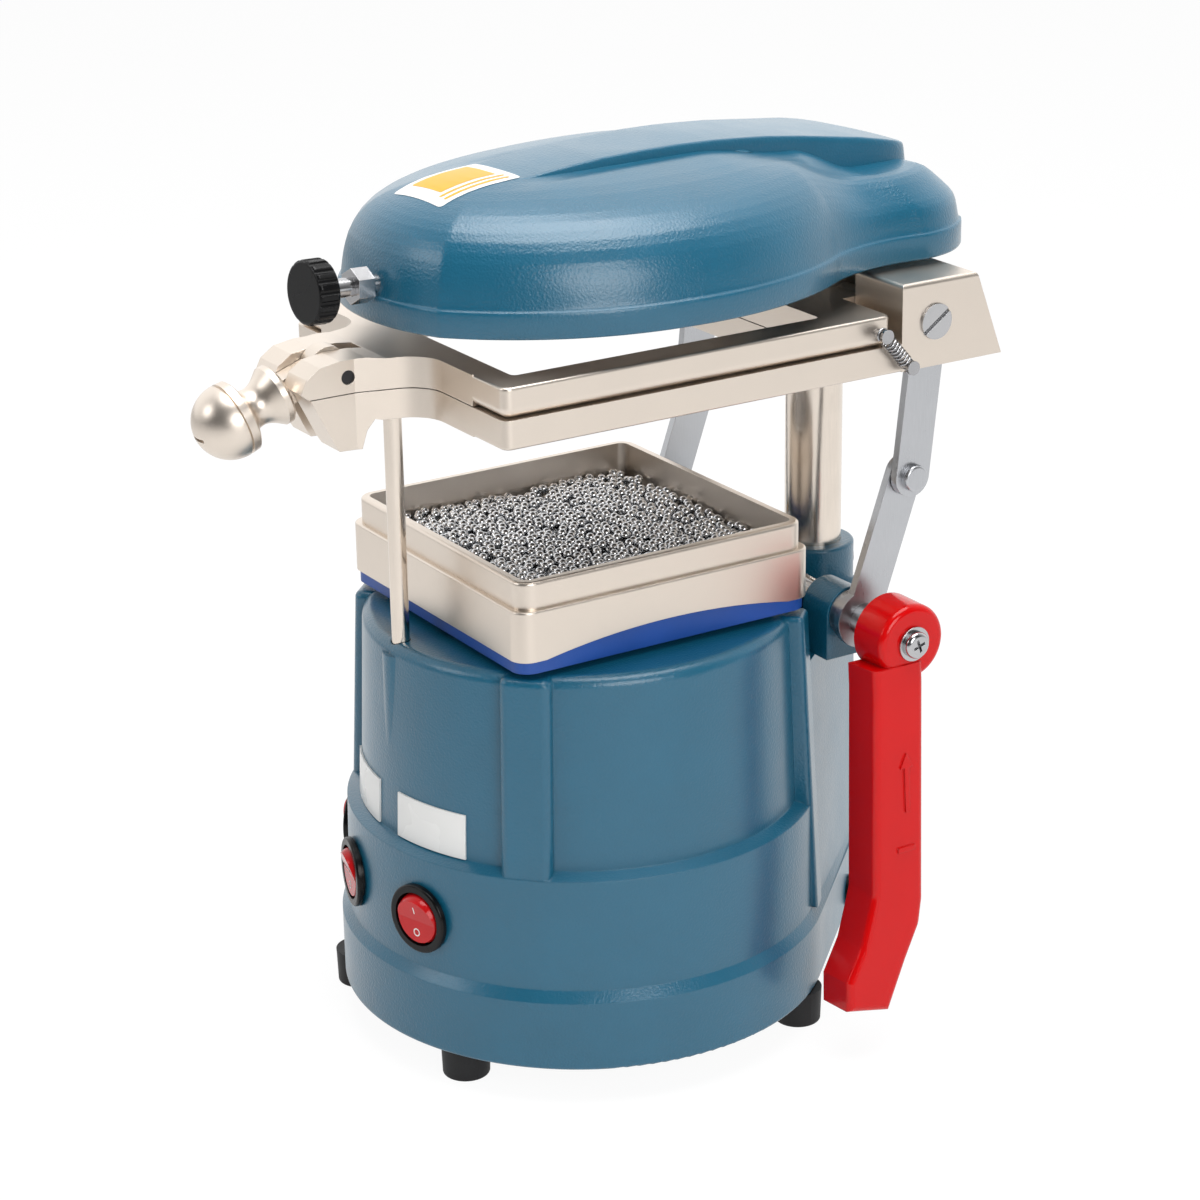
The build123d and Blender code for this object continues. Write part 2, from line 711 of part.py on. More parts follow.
def vacuum_box():
    body = rounded_slab(box_half, box_corner, box_bottom_z, box_top_z)
    top_edges = body.edges().group_by(Axis.Z)[-1]
    body = fillet(top_edges, 0.8)
    inner = box_half - box_wall
    body -= rounded_slab(inner, box_corner - box_wall, box_bottom_z + box_floor, box_top_z + 5)
    body -= side_arches() - rounded_slab(inner, box_corner - box_wall, box_bottom_z - 1, box_top_z)
    body -= tube_z(suction_hole_radius, 0, box_bottom_z - 1, box_bottom_z + box_floor + 1)
    return body


def suction_screen():
    low = box_bottom_z + box_floor
    screen = tube_z(screen_radius, 0, low, low + screen_thickness)
    steps = range(-screen_rings, screen_rings + 1)
    hole = Cylinder(screen_hole_radius, 4 * screen_thickness)
    holes = [Pos(x * screen_pitch, y * screen_pitch, low) * hole
             for x in steps for y in steps if x * x + y * y < screen_rings ** 2 + 2]
    return screen - holes


def ball_tray():
    outer = rounded_slab(tray_half, tray_corner, box_top_z, tray_top_z)
    outer = fillet(outer.edges().group_by(Axis.Z)[-1], 1.2)
    spigot_half = box_half - box_wall - body_gap
    floor_top = tray_top_z - tray_depth
    spigot = rounded_slab(spigot_half, box_corner - box_wall, floor_top - tray_floor, box_top_z)
    body = outer + spigot
    body -= rounded_slab(tray_half - tray_wall, tray_corner - tray_wall, floor_top, tray_top_z + 1)
    reach = (air_hole_rows - 1) / 2 * air_hole_pitch
    holes = [Pos(-reach + i * air_hole_pitch, -reach + j * air_hole_pitch, floor_top)
             * Cylinder(air_hole_radius, 3 * tray_floor)
             for i in range(air_hole_rows) for j in range(air_hole_rows)]
    return body - holes


def ball_bed():
    low = tray_top_z - tray_depth
    half = tray_half - tray_wall
    return rounded_slab(half, tray_corner - tray_wall, low, bed_top_z)


# ---------------------------------------------------------------- clamping frame

def neck_plan(low, high):
    """Plan of the front neck, flared into the front bar."""
    points = [(50, -62), (50, frame_front_y), (neck_root_half, frame_front_y),
              (neck_half, neck_narrow_y), (neck_half, -115)]
    mirrored = [(-x, y) for x, y in reversed(points)]
    face = make_face(Polyline(*points, *mirrored, close=True))
    corners = [v for v in face.vertices() if abs(v.Y - frame_front_y) < 0.1 and abs(v.X) < 30]
    face = fillet(corners, neck_fillet)
    return extrude(Pos(0, 0, low) * face, high - low)


def frame_plate(low, high, rear):
    middle = (frame_front_y + rear) / 2
    face = Pos(0, middle, low) * RectangleRounded(2 * frame_half, rear - frame_front_y, frame_corner)
    return extrude(face, high - low)


def frame_opening(low, high):
    middle = (opening_front_y + opening_rear_y) / 2
    length = opening_rear_y - opening_front_y
    face = Pos(0, middle, low - 1) * RectangleRounded(2 * opening_half, length, 2.0)
    return extrude(face, high - low + 2)


def handle_slot():
    return block(-slot_half, slot_half, -120, slot_rear_y, lower_bottom_z - 15, upper_top_z + 5)


def spring_peg_hole(y, z):
    holes = [tube_x(peg_radius + seat_gap, 0, side * peg_root_x, side * (frame_half + 1), y, z)
             for side in (1, -1)]
    return holes


def lower_frame():
    low, high = lower_bottom_z, joint_z - sheet_gap / 2
    plate = frame_plate(low, high, block_front_y + 8)
    plate = fillet(plate.edges().group_by(Axis.Z)[0], frame_edge)
    jaw = side_plate([(-62, high), (-62, low), (-82, low), (-84.1, low + 0.5), (-86.7, 226.9),
                      (-88.4, 221.0), (-96.2, 221.4), (-97.8, 224.0), (-105.4, high)], -60, 60)
    body = plate + (neck_plan(215, high) & jaw)
    rear = side_plate([(block_front_y, low), (block_front_y, block_top_z),
                       (block_rear_top_y, block_top_z), (block_rear_bottom_y, low)],
                      -frame_half, frame_half)
    top_edges = rear.edges().group_by(Axis.Z)[-1]
    rear = fillet(top_edges, 1.5)
    body += rear
    body -= frame_opening(low, high)
    body -= handle_slot()
    bush = post_radius + sliding_gap + post_bush_wall + seat_gap
    body -= tube_z(bush, 0, low - 1, block_top_z + 1, 0, post_y)
    body -= tube_z(rod_radius + seat_gap, 0, low - 1, high - 1.5, 0, rod_y)
    lug_low = hinge_z - lug_radius - body_gap
    for side in (1, -1):
        x0 = side * lug_x - lug_width / 2 - body_gap
        x1 = side * lug_x + lug_width / 2 + body_gap
        body -= block(x0, x1, block_front_y - 1, hinge_y + lug_radius + body_gap, lug_low, block_top_z + 5)
        x0, x1 = side * hinge_pin_start_x, side * hinge_pin_end_x
        body -= tube_x(hinge_pin_radius + seat_gap, 0, x0, x1, hinge_y, hinge_z)
        s0, s1 = sorted((side * (link_inner_x - body_gap), side * (link_outer_x + body_gap)))
        slot_front = link_top_y - link_half_width - 2.6
        slot_rear = link_top_y + link_half_width + 10.0
        slot_top = link_top_z + link_half_width + link_swing_space
        body -= block(s0, s1, slot_front, slot_rear, low - 1, slot_top)
        hole = link_screw_radius - 1
        body -= tube_x(hole + seat_gap, 0, side * link_screw_end_x, side * frame_half, link_top_y, link_top_z)
        body -= tube_x(link_screw_head + seat_gap, 0, side * (link_outer_x + 0.1), side * (frame_half + 1),
                       link_top_y, link_top_z)
        body -= tube_x(link_screw_radius + seat_gap, 0, side * (link_inner_x - 2), side * frame_half,
                       link_top_y, link_top_z)
    for hole in spring_peg_hole(*lower_peg):
        body -= hole
    return body


def post_bush():
    outer = post_radius + sliding_gap + post_bush_wall
    return tube_z(outer, post_radius + sliding_gap, lower_bottom_z, block_top_z, 0, post_y)


def guide_rod():
    rod = tube_z(rod_radius, 0, rod_bottom_z, joint_z - sheet_gap / 2 - 1.5, 0, rod_y)
    return chamfer(rod.edges().group_by(Axis.Z)[0], 0.8)


def frame_hinge_pins():
    pins = [tube_x(hinge_pin_radius, 0, side * hinge_pin_start_x, side * hinge_pin_end_x, hinge_y, hinge_z)
            for side in (1, -1)]
    return Compound(children=pins)


def link_screws():
    screws = []
    for side in (1, -1):
        x0, x1 = side * link_screw_end_x, side * (link_inner_x - 2)
        thread = tube_x(link_screw_radius - 1, 0, x0, x1, link_top_y, link_top_z)
        journal = tube_x(link_screw_radius, 0, side * (link_inner_x - 2), side * (link_outer_x + 0.1),
                         link_top_y, link_top_z)
        head = tube_x(link_screw_head, 0, side * (link_outer_x + 0.1), side * (frame_half + 0.8),
                      link_top_y, link_top_z)
        slot = Pos(side * (frame_half + 0.8), link_top_y, link_top_z) * Rot(35, 0, 0) * Box(2.4, 14, 1.4)
        screws.append(thread + journal + head - slot)
    return Compound(children=screws)


def spring_pegs(place):
    pegs = []
    for side in (1, -1):
        y, z = place
        peg = tube_x(peg_radius, 0, side * peg_root_x, side * peg_end_x, y, z)
        peg += tube_x(peg_radius + 0.9, 0, side * (peg_end_x - 1.0), side * peg_end_x, y, z)
        pegs.append(peg)
    return Compound(children=pegs)


def upper_frame():
    low, high = joint_z + sheet_gap / 2, upper_top_z
    plate = frame_plate(low, high, upper_rear_y)
    front_edges = [e for e in plate.edges().group_by(Axis.Z)[-1] if e.center().Y < upper_rear_y - 1]
    plate = fillet(front_edges, frame_edge)
    rear_edges = [e for e in plate.edges() if e.center().Y > upper_rear_y - 0.5 and abs(e.center().X) < 1]
    plate = fillet(rear_edges, 3.5)
    ears = side_plate([(-62, low), (-62, high), (-80, high), (-86, 250.5), (-94.8, 250.5),
                       (-101.8, 249.4), (-106.5, 246.2), (-108.7, 241.9), (-106.0, low)], -60, 60)
    body = plate + (neck_plan(low, 255) & ears)
    body -= frame_opening(low, high)
    body -= handle_slot()
    for side in (1, -1):
        x0 = side * lug_x - lug_width / 2
        lug = block(x0, x0 + lug_width, upper_rear_y - 6, hinge_y, hinge_z - lug_radius, high)
        lug += tube_x(lug_radius, 0, x0, x0 + lug_width, hinge_y, hinge_z)
        body += lug
        body -= tube_x(hinge_pin_radius + running_gap, 0, x0 - 1, x0 + lug_width + 1, hinge_y, hinge_z)
    body -= tube_x(handle_pin_radius + seat_gap, 0, -30, 30, handle_pivot_y, handle_pivot_z)
    for hole in spring_peg_hole(*upper_peg):
        body -= hole
    return body


def handle_pivot_pin():
    reach = neck_half - 0.6
    return tube_x(handle_pin_radius, 0, -reach, reach, handle_pivot_y, handle_pivot_z)


# ---------------------------------------------------------------- frame springs

def smooth_pair(p0, t0, p1, t1):
    """Two arcs that join two points and follow the given directions there."""
    v = p1 - p0
    t = t0 + t1
    k = 2 * (1 - t0.dot(t1))
    d = (-v.dot(t) + sqrt(v.dot(t) ** 2 + k * v.dot(v))) / k
    middle = (p0 + p1 + (t0 - t1) * d) / 2
    first = TangentArc(p0, middle, tangent=t0)
    second = TangentArc(middle, p1, tangent=first % 1)
    return [first, second]


def frame_spring():
    """Extension spring between the two pegs on the +X side, as one wire with a hook at each end."""
    low = Vector(spring_x, *lower_peg)
    high = Vector(spring_x, *upper_peg)
    axis = (high - low).normalized()
    across = Vector(1, 0, 0)
    aside = axis.cross(across).normalized()
    length = (high - low).length - 2 * coil_start
    pitch = length / coil_turns
    rise = pitch / (2 * pi)

    def curl(turn):
        angle = 2 * pi * turn
        place = low + axis * (coil_start + pitch * turn)
        place += aside * (coil_radius * cos(angle)) + across * (coil_radius * sin(angle))
        way = aside * (-coil_radius * sin(angle)) + across * (coil_radius * cos(angle)) + axis * rise
        return place, way.normalized()

    hook_end = low - aside * hook_radius
    hook_top = low + aside * hook_radius
    path = [ThreePointArc(hook_end, low - axis * hook_radius, hook_top)]
    place, way = curl(0)
    path += smooth_pair(hook_top, axis, place, way)
    for i in range(2 * coil_turns):
        ahead, ahead_way = curl((i + 1) / 2)
        path += smooth_pair(place, way, ahead, ahead_way)
        place, way = ahead, ahead_way
    far_start = high + aside * hook_radius
    path += smooth_pair(place, way, far_start, axis)
    path.append(ThreePointArc(far_start, high + axis * hook_radius, high - aside * hook_radius))
    wire = Wire(path)
    section = Plane(origin=hook_end, z_dir=-axis) * Circle(wire_radius)
    spring = sweep(section, path=wire)
    points = []
    run = 0.0
    for edge in wire.edges():
        steps = max(2, int(edge.length / 0.4))
        for j in range(steps):
            points.append((run + edge.length * j / steps, edge @ (j / steps)))
        run += edge.length
    gap = min((b - a).length for i, (s, a) in enumerate(points) for t, b in points[i + 1:]
              if t - s > 4 * wire_radius + 2)
    print("spring: least gap to itself", round(gap - 2 * wire_radius, 2), "mm, wire volume ratio",
          round(spring.volume / (pi * wire_radius ** 2 * wire.length), 3))
    return spring


def frame_springs():
    right = frame_spring()
    return Compound(children=[right, mirror(right, about=Plane.YZ)])


# ---------------------------------------------------------------- clamp handle

def handle_frame():
    drop = radians(handle_drop)
    pivot = (0, handle_pivot_y, handle_pivot_z)
    return Plane(pivot, x_dir=(1, 0, 0), z_dir=(0, -cos(drop), -sin(drop))).location


def handle_tongue():
    half = slot_half - body_gap
    disc = Rot(0, 90, 0) * Cylinder(tongue_radius, 2 * half)
    bar = Pos(0, 0, bell_start / 2) * Box(2 * half, 2 * tongue_half_height, bell_start)
    stud = Pos(0, 0, (bell_start + stud_reach) / 2) * Cylinder(stud_core, stud_reach - bell_start)
    tongue = disc + bar + stud
    tongue -= Rot(0, 90, 0) * Cylinder(handle_pin_radius + running_gap, 20)
    return handle_frame() * tongue


def ball_handle():
    centre = handle_end - ball_radius
    outline = Line((0, bell_start), (8.8, bell_start))
    outline += Line((8.8, bell_start), (10, bell_start + 1))
    outline += Line((10, bell_start + 1), (10, 20))
    outline += Spline((10, 20), (8.2, 22.4), (6.5, 26.3), (7.2, 29.4), (10.4, 31.0), (12.0, 32.0))
    outline += Line((12.0, 32.0), (ball_radius, 34.6))
    outline += Line((ball_radius, 34.6), (ball_radius - 0.8, 34.9))
    outline += Line((ball_radius - 0.8, 34.9), (ball_radius - 0.8, 35.4))
    outline += Line((ball_radius - 0.8, 35.4), (ball_radius, centre))
    outline += ThreePointArc((ball_radius, centre),
                             (ball_radius * sin(pi / 4), centre + ball_radius * cos(pi / 4)), (0, handle_end))
    outline += Line((0, handle_end), (0, bell_start))
    body = revolve(Plane.XZ * make_face(outline), Axis.Z)
    bore_length = stud_reach - bell_start + 0.2
    body -= Pos(0, 0, (bell_start + stud_reach) / 2) * Cylinder(stud_core + seat_gap, bore_length)
    body -= Pos(0, 0, handle_end) * Box(7, 1.2, 3)
    return handle_frame() * body


# ---------------------------------------------------------------- cranks, links and lever

def bar_plate(y0, z0, y1, z1, half_width, x0, thickness):
    """Flat bar with round ends between two places in a Y-Z plane."""
    length = sqrt((y1 - y0) ** 2 + (z1 - z0) ** 2)
    angle = degrees(atan2(z1 - z0, y1 - y0))
    face = SlotCenterToCenter(length, 2 * half_width, rotation=angle)
    face = Plane((x0, (y0 + y1) / 2, (z0 + z1) / 2), x_dir=(0, 1, 0), z_dir=(1, 0, 0)) * face
    return extrude(face, thickness)


def crank(side):
    x0 = crank_inner_x if side > 0 else -crank_inner_x - crank_thickness
    plate = bar_plate(shaft_y, shaft_z, pin_y, pin_z, link_half_width, x0, crank_thickness)
    plate += tube_x(crank_hub_radius, 0, x0, x0 + crank_thickness, shaft_y, shaft_z)
    plate -= tube_x(shaft_radius + seat_gap, 0, x0 - 1, x0 + crank_thickness + 1, shaft_y, shaft_z)
    plate -= tube_x(link_pin_radius + 0.1, 0, x0 - 1, x0 + crank_thickness + 1, pin_y, pin_z)
    return plate


def link(side):
    x0 = link_inner_x if side > 0 else -link_outer_x
    plate = bar_plate(link_top_y, link_top_z, pin_y, pin_z, link_half_width, x0, link_thickness)
    x1 = x0 + link_thickness
    plate -= tube_x(link_screw_radius + running_gap, 0, x0 - 1, x1 + 1, link_top_y, link_top_z)
    plate -= tube_x(link_pin_radius + seat_gap, 0, x0 - 1, x0 + link_thickness + 1, pin_y, pin_z)
    return plate


def link_pins():
    pins = []
    for side in (1, -1):
        shank = tube_x(link_pin_radius, 0, side * (link_inner_x - 0.1), side * link_outer_x, pin_y, pin_z)
        x0, x1 = side * link_outer_x, side * (link_outer_x + 2.6)
        head = tube_x(link_pin_radius + 1.6, 0, x0, x1, pin_y, pin_z)
        outer = head.edges().group_by(Axis.X)[-1 if side > 0 else 0]
        pins.append(shank + fillet(outer, 1.0))
    return Compound(children=pins)


def cross_shaft():
    shaft = tube_x(shaft_radius, 0, shaft_left_x, shaft_right_x, shaft_y, shaft_z)
    x0, x1 = shaft_right_x - 15, shaft_right_x + 1
    return shaft - tube_x(lever_screw_radius + seat_gap, 0, x0, x1, shaft_y, shaft_z)


def shaft_collars():
    inner = shaft_radius + seat_gap
    collars = [tube_x(bearing_block_radius - 0.6, inner, side * (bearing_outer_x + body_gap),
                      side * crank_inner_x, shaft_y, shaft_z) for side in (1, -1)]
    return Compound(children=collars)


def lever_arm():
    arm = side_plate(lever_outline, 0, lever_thickness)
    sides = arm.edges().filter_by(Axis.X)
    bends = [e for e in sides if 30 < e.center().Z < 60]
    arm = fillet(bends, 8.0)
    outer = [e for e in arm.edges().group_by(Axis.X)[-1] if e.center().Z < 135]
    arm = fillet(outer, lever_edge)
    arrow = side_plate([(-0.9, -arrow_half), (0.9, -arrow_half), (0.9, arrow_half - 5), (2.6, arrow_half - 5),
                        (0, arrow_half), (-2.6, arrow_half - 5), (-0.9, arrow_half - 5)], 0, emboss + 1)
    arm += Pos(lever_thickness - 1, *arrow_middle) * arrow
    arm += Pos(lever_thickness - 1 + (emboss + 1) / 2, *bar_middle) * Box(emboss + 1, 7, 1.8)
    lean = degrees(atan2(lever_splay, 1))
    arm = Pos(hub_inner_x, shaft_y, shaft_z) * Rot(0, -lean, 0) * Pos(0, -shaft_y, -shaft_z) * arm
    hub = tube_x(lever_hub_radius, 0, hub_inner_x, lever_outer_x, shaft_y, shaft_z)
    hub = fillet(hub.edges().group_by(Axis.X)[-1], lever_edge)
    body = arm + hub
    body -= tube_x(shaft_radius + seat_gap, 0, hub_inner_x - 3, shaft_right_x, shaft_y, shaft_z)
    body -= tube_x(lever_screw_radius + 0.3, 0, shaft_right_x - 1, lever_outer_x + 3, shaft_y, shaft_z)
    body -= block(hub_inner_x - 5, hub_inner_x, 0, 150, 100, 200)
    return body


def lever_washer():
    x1 = lever_outer_x + washer_thickness
    return tube_x(washer_radius, lever_screw_radius + 0.3, lever_outer_x, x1, shaft_y, shaft_z)


def lever_screw():
    face = lever_outer_x + washer_thickness
    head = tube_x(4.6, 0, face, face + 2.6, shaft_y, shaft_z)
    head = fillet(head.edges().group_by(Axis.X)[-1], 1.6)
    screw = head + tube_x(lever_screw_radius, 0, shaft_right_x - 14, face, shaft_y, shaft_z)
    for turn in (0, 90):
        screw -= Pos(face + 2.6, shaft_y, shaft_z) * Rot(turn + 20, 0, 0) * Box(3.0, 4.6, 1.0)
    return screw


# ---------------------------------------------------------------- heater

def turned(shape):
    """A piece of the heater, swung about the post to where the heater rests."""
    axis = Pos(0, post_y, 0)
    return axis * Rot(0, 0, heater_turn) * axis.inverse() * shape


def heater_plan(scale, z):
    """Plan outline of the heater, drawn in towards its centre by a factor."""
    long_scale = 1 - (1 - scale) * heater_half / heater_reach

    def at(x, y):
        return (x * scale, heater_centre_y + (y - heater_centre_y) * long_scale, z)

    right = ThreePointArc(at(28.0, -77.9), at(53.6, -50.2), at(67.4, -12.0))
    right += ThreePointArc(at(67.4, -12.0), at(67.2, 27.9), at(55.6, 60.0))
    right += ThreePointArc(at(55.6, 60.0), at(51.2, 77.5), at(52.8, 100.4))
    right += ThreePointArc(at(52.8, 100.4), at(50.3, 115.2), at(41.65, 126.5))
    front = ThreePointArc(at(-28.0, -77.9), at(0.0, -83.3), at(28.0, -77.9))
    rear = Line(at(41.65, 126.5), at(-41.65, 126.5))
    left = mirror(right, about=Plane.YZ)
    return make_face(front + right + rear + left)


def under_line(heights, drop=0.0):
    """Everything below a line of heights along the heater."""
    line = [(y, heater_bottom_z + z - drop) for y, z in heights]
    low = heater_bottom_z - 20
    far_y = line[-1][0] + 20
    return side_plate([(line[0][0], low), *line, (far_y, line[-1][1]), (far_y, low)], -90, 90)


def dome_body(inset):
    """Dome above the skirt, with its lowered tail, and the same form drawn in all round."""
    skirt_top = heater_bottom_z + skirt_height
    shrink = (1 - inset / heater_half) * (1 - skirt_step / heater_half)
    body = loft([heater_plan(k * shrink, skirt_top + rise - inset) for k, rise in dome], ruled=True)
    return body & under_line([(-110.0, tail_top[0][1]), *tail_top], inset)


def spine_body(inset):
    """Raised spine, narrow at the front and wide at the post."""
    levels = ((spine_low, 0), (spine_high, 5))
    body = loft([Pos(0, 0, heater_bottom_z + z) * spine_plan(draw + inset) for z, draw in levels], ruled=True)
    return body & under_line(spine_ridge, inset)


def heater_inside():
    """Space under the heater's roof, above the skirt."""
    low, high = heater_bottom_z - 9, heater_bottom_z + roof_inside
    inside = dome_body(heater_wall) + spine_body(heater_wall + 0.6)
    return inside & block(-90, 90, -100, 140, low, high)


def heater_shell():
    body = extrude(heater_plan(1.0, heater_bottom_z), skirt_height)
    body += dome_body(0)
    body += spine_body(0)
    shrink = 1 - heater_wall / heater_half
    body -= extrude(heater_plan(shrink, heater_bottom_z - 1), skirt_height + 1)
    body -= heater_inside()
    body -= knob_place(0) * Cylinder(stud_radius + seat_gap, 24)
    return body


def heater_studs():
    """Bosses under the heater's roof that carry the reflector and the hub."""
    inside = heater_inside()
    high = heater_bottom_z + roof_inside
    studs = [tube_z(stud_boss_radius, 0, reflector_z + reflector_thickness, high, x, y) & inside
             for x, y in stud_places]
    for x in hub_screw_places:
        stud = tube_z(hub_boss_radius, 0, hub_top_z, high, x, post_y) & inside
        studs.append(stud - tube_z(hub_screw_radius + seat_gap, 0, hub_top_z - 1, hub_top_z + 3.8, x, post_y))
    return Compound(children=studs)


def spine_plan(inset):
    points = [(11.0 - inset, -34 + inset), (21.0 - inset, 40), (24.5 - inset, 108 - inset),
              (17.0 - inset, 119 - inset)]
    mirrored = [(-x, y) for x, y in reversed(points)]
    return make_face(Polyline(*points, *mirrored, close=True))


def knob_place(distance):
    way = Vector(*knob_lean).normalized()
    origin = Vector(*stud_start) + way * distance
    return Plane(origin=origin, z_dir=way).location


def knob_stud():
    return knob_place(0) * Pos(0, 0, 9.5) * Cylinder(stud_radius, 25)


def knob_nut():
    nut = Pos(0, 0, 2.0) * extrude(RegularPolygon(nut_flats / 2, 6, major_radius=False), 6.0)
    nut -= Cylinder(stud_radius + seat_gap, 40)
    return knob_place(0) * nut


def heat_knob():
    middle = knob_start + knob_length / 2
    knob = Pos(0, 0, middle) * Cylinder(knob_radius, knob_length)
    knob = fillet(knob.edges().group_by(Axis.Z)[0] + knob.edges().group_by(Axis.Z)[-1], 1.2)
    for i in range(knob_flutes):
        turn = 360 / knob_flutes * i
        knob -= Rot(0, 0, turn) * Pos(knob_radius + 0.5, 0, middle) * Cylinder(1.2, 20)
    knob -= Pos(0, 0, 11) * Cylinder(stud_radius + seat_gap, 22.01)
    return knob_place(0) * knob


def element_path():
    """Flat spiral of half circles whose two ends turn up to the reflector."""
    bend, z, y = element_rise_radius, element_z, reflector_y
    top = reflector_z + reflector_thickness
    x = -element_first_radius
    path = [Line((x, y - bend, top), (x, y - bend, z + bend))]
    path.append(TangentArc((x, y - bend, z + bend), (x, y, z), tangent=(0, 0, -1)))
    way = 1
    for i in range(element_half_turns):
        radius = element_first_radius + i * element_pitch / 2
        end = x + way * 2 * radius
        path.append(ThreePointArc((x, y, z), ((x + end) / 2, y + way * radius, z), (end, y, z)))
        x = end
        way = -way
    path.append(TangentArc((x, y, z), (x, y + way * bend, z + bend), tangent=(0, way, 0)))
    path.append(Line((x, y + way * bend, z + bend), (x, y + way * bend, top)))
    return path


def heater_reflector():
    low = reflector_z
    pan = tube_z(reflector_radius, 0, low, low + reflector_thickness, 0, reflector_y)
    rim_low = heater_bottom_z + 3
    pan += tube_z(reflector_radius, reflector_radius - 1.2, rim_low, low, 0, reflector_y)
    path = element_path()
    for place in (path[0] @ 0, path[-1] @ 1):
        pan -= tube_z(element_radius + seat_gap, 0, low - 1, low + 3, place.X, place.Y)
    return pan


def heating_element():
    path = element_path()
    section = Plane(origin=path[0] @ 0, z_dir=(0, 0, -1)) * Circle(element_radius)
    element = sweep(section, path=Wire(path))
    length = Wire(path).length
    print("heating element: volume ratio", round(element.volume / (pi * element_radius ** 2 * length), 3))
    return element


def heater_insulation():
    low = reflector_z + reflector_thickness
    pad = tube_z(insulation_radius, 0, low, low + insulation_height, 0, reflector_y)
    for x, y in stud_places:
        pad -= tube_z(stud_boss_radius + body_gap, 0, low - 1, low + insulation_height + 1, x, y)
    return pad


def heater_hub():
    hub = tube_z(14.0, 0, post_shoulder_z, hub_top_z, 0, post_y)
    flange = block(-hub_flange_radius, hub_flange_radius, post_y - 9, post_y + 9, hub_top_z - 3, hub_top_z)
    hub += fillet(flange.edges().filter_by(Axis.Z), 4.0)
    hub -= tube_z(post_tip_radius + running_gap, 0, post_shoulder_z - 1, post_top_z + 0.6, 0, post_y)
    hub -= tube_z(4.4, 0, post_top_z, hub_top_z + 1, 0, post_y)
    for x in hub_screw_places:
        hub -= tube_z(hub_screw_radius + seat_gap, 0, hub_top_z - 5, hub_top_z + 1, x, post_y)
    return hub


def hub_screws():
    screws = []
    for x in hub_screw_places:
        shank = tube_z(hub_screw_radius, 0, hub_top_z - 3, hub_top_z + 3.6, x, post_y)
        head = tube_z(2 * hub_screw_radius, 0, hub_top_z - 5.4, hub_top_z - 3, x, post_y)
        screws.append(shank + head)
    return Compound(children=screws)


# ---------------------------------------------------------------- switches and plates

def switch_bezels():
    bezels = []
    for angle in switch_angles:
        flange = Pos(0, 0, 1.3) * Cylinder(bezel_radius, 2.0)
        flange = fillet(flange.edges().group_by(Axis.Z)[-1], 0.8)
        body = Pos(0, 0, 0.3 - bezel_depth / 2) * Cylinder(bezel_body_radius, bezel_depth)
        bore = Pos(0, 0, 2.4 - bezel_depth / 2) * Cylinder(bezel_bore_radius, bezel_depth)
        bezels.append(switch_place(angle) * (flange + body - bore))
    return Compound(children=bezels)


def rocker(angle):
    """Round rocker, hollow-faced, pressed in at its lower half."""
    rise = tan(radians(rocker_tilt)) * 12
    crown = 2.2 + rocker_depth
    outline = [(-12, -5.5), (12, -5.5), (12, crown + rise), (0, crown), (-12, crown + rise)]
    prism = side_plate(outline, -12, 12)
    ball = Sphere(bezel_bore_radius - body_gap)
    body = ball & prism
    return switch_place(angle) * Pos(0, 0, -rocker_depth) * Rot(rocker_tilt, 0, 0) * body


def label_plates():
    plates = []
    for angle in label_angles:
        outer = cone(panel_at(label_low_z) + 0.7, panel_at(label_high_z) + 0.7, label_low_z, label_high_z)
        inner = cone(panel_at(label_low_z - 1) + seat_gap, panel_at(label_high_z + 1) + seat_gap,
                     label_low_z - 1, label_high_z + 1)
        ring = outer - inner
        reach = 100.0
        spread = reach * tan(radians(label_half_angle))
        wedge = make_face(Polyline((0, 0), (spread, -reach), (-spread, -reach), close=True))
        wedge = extrude(Pos(0, 0, label_low_z - 1) * wedge, label_high_z - label_low_z + 2)
        plates.append(ring & (Rot(0, 0, angle) * wedge))
    return Compound(children=plates)


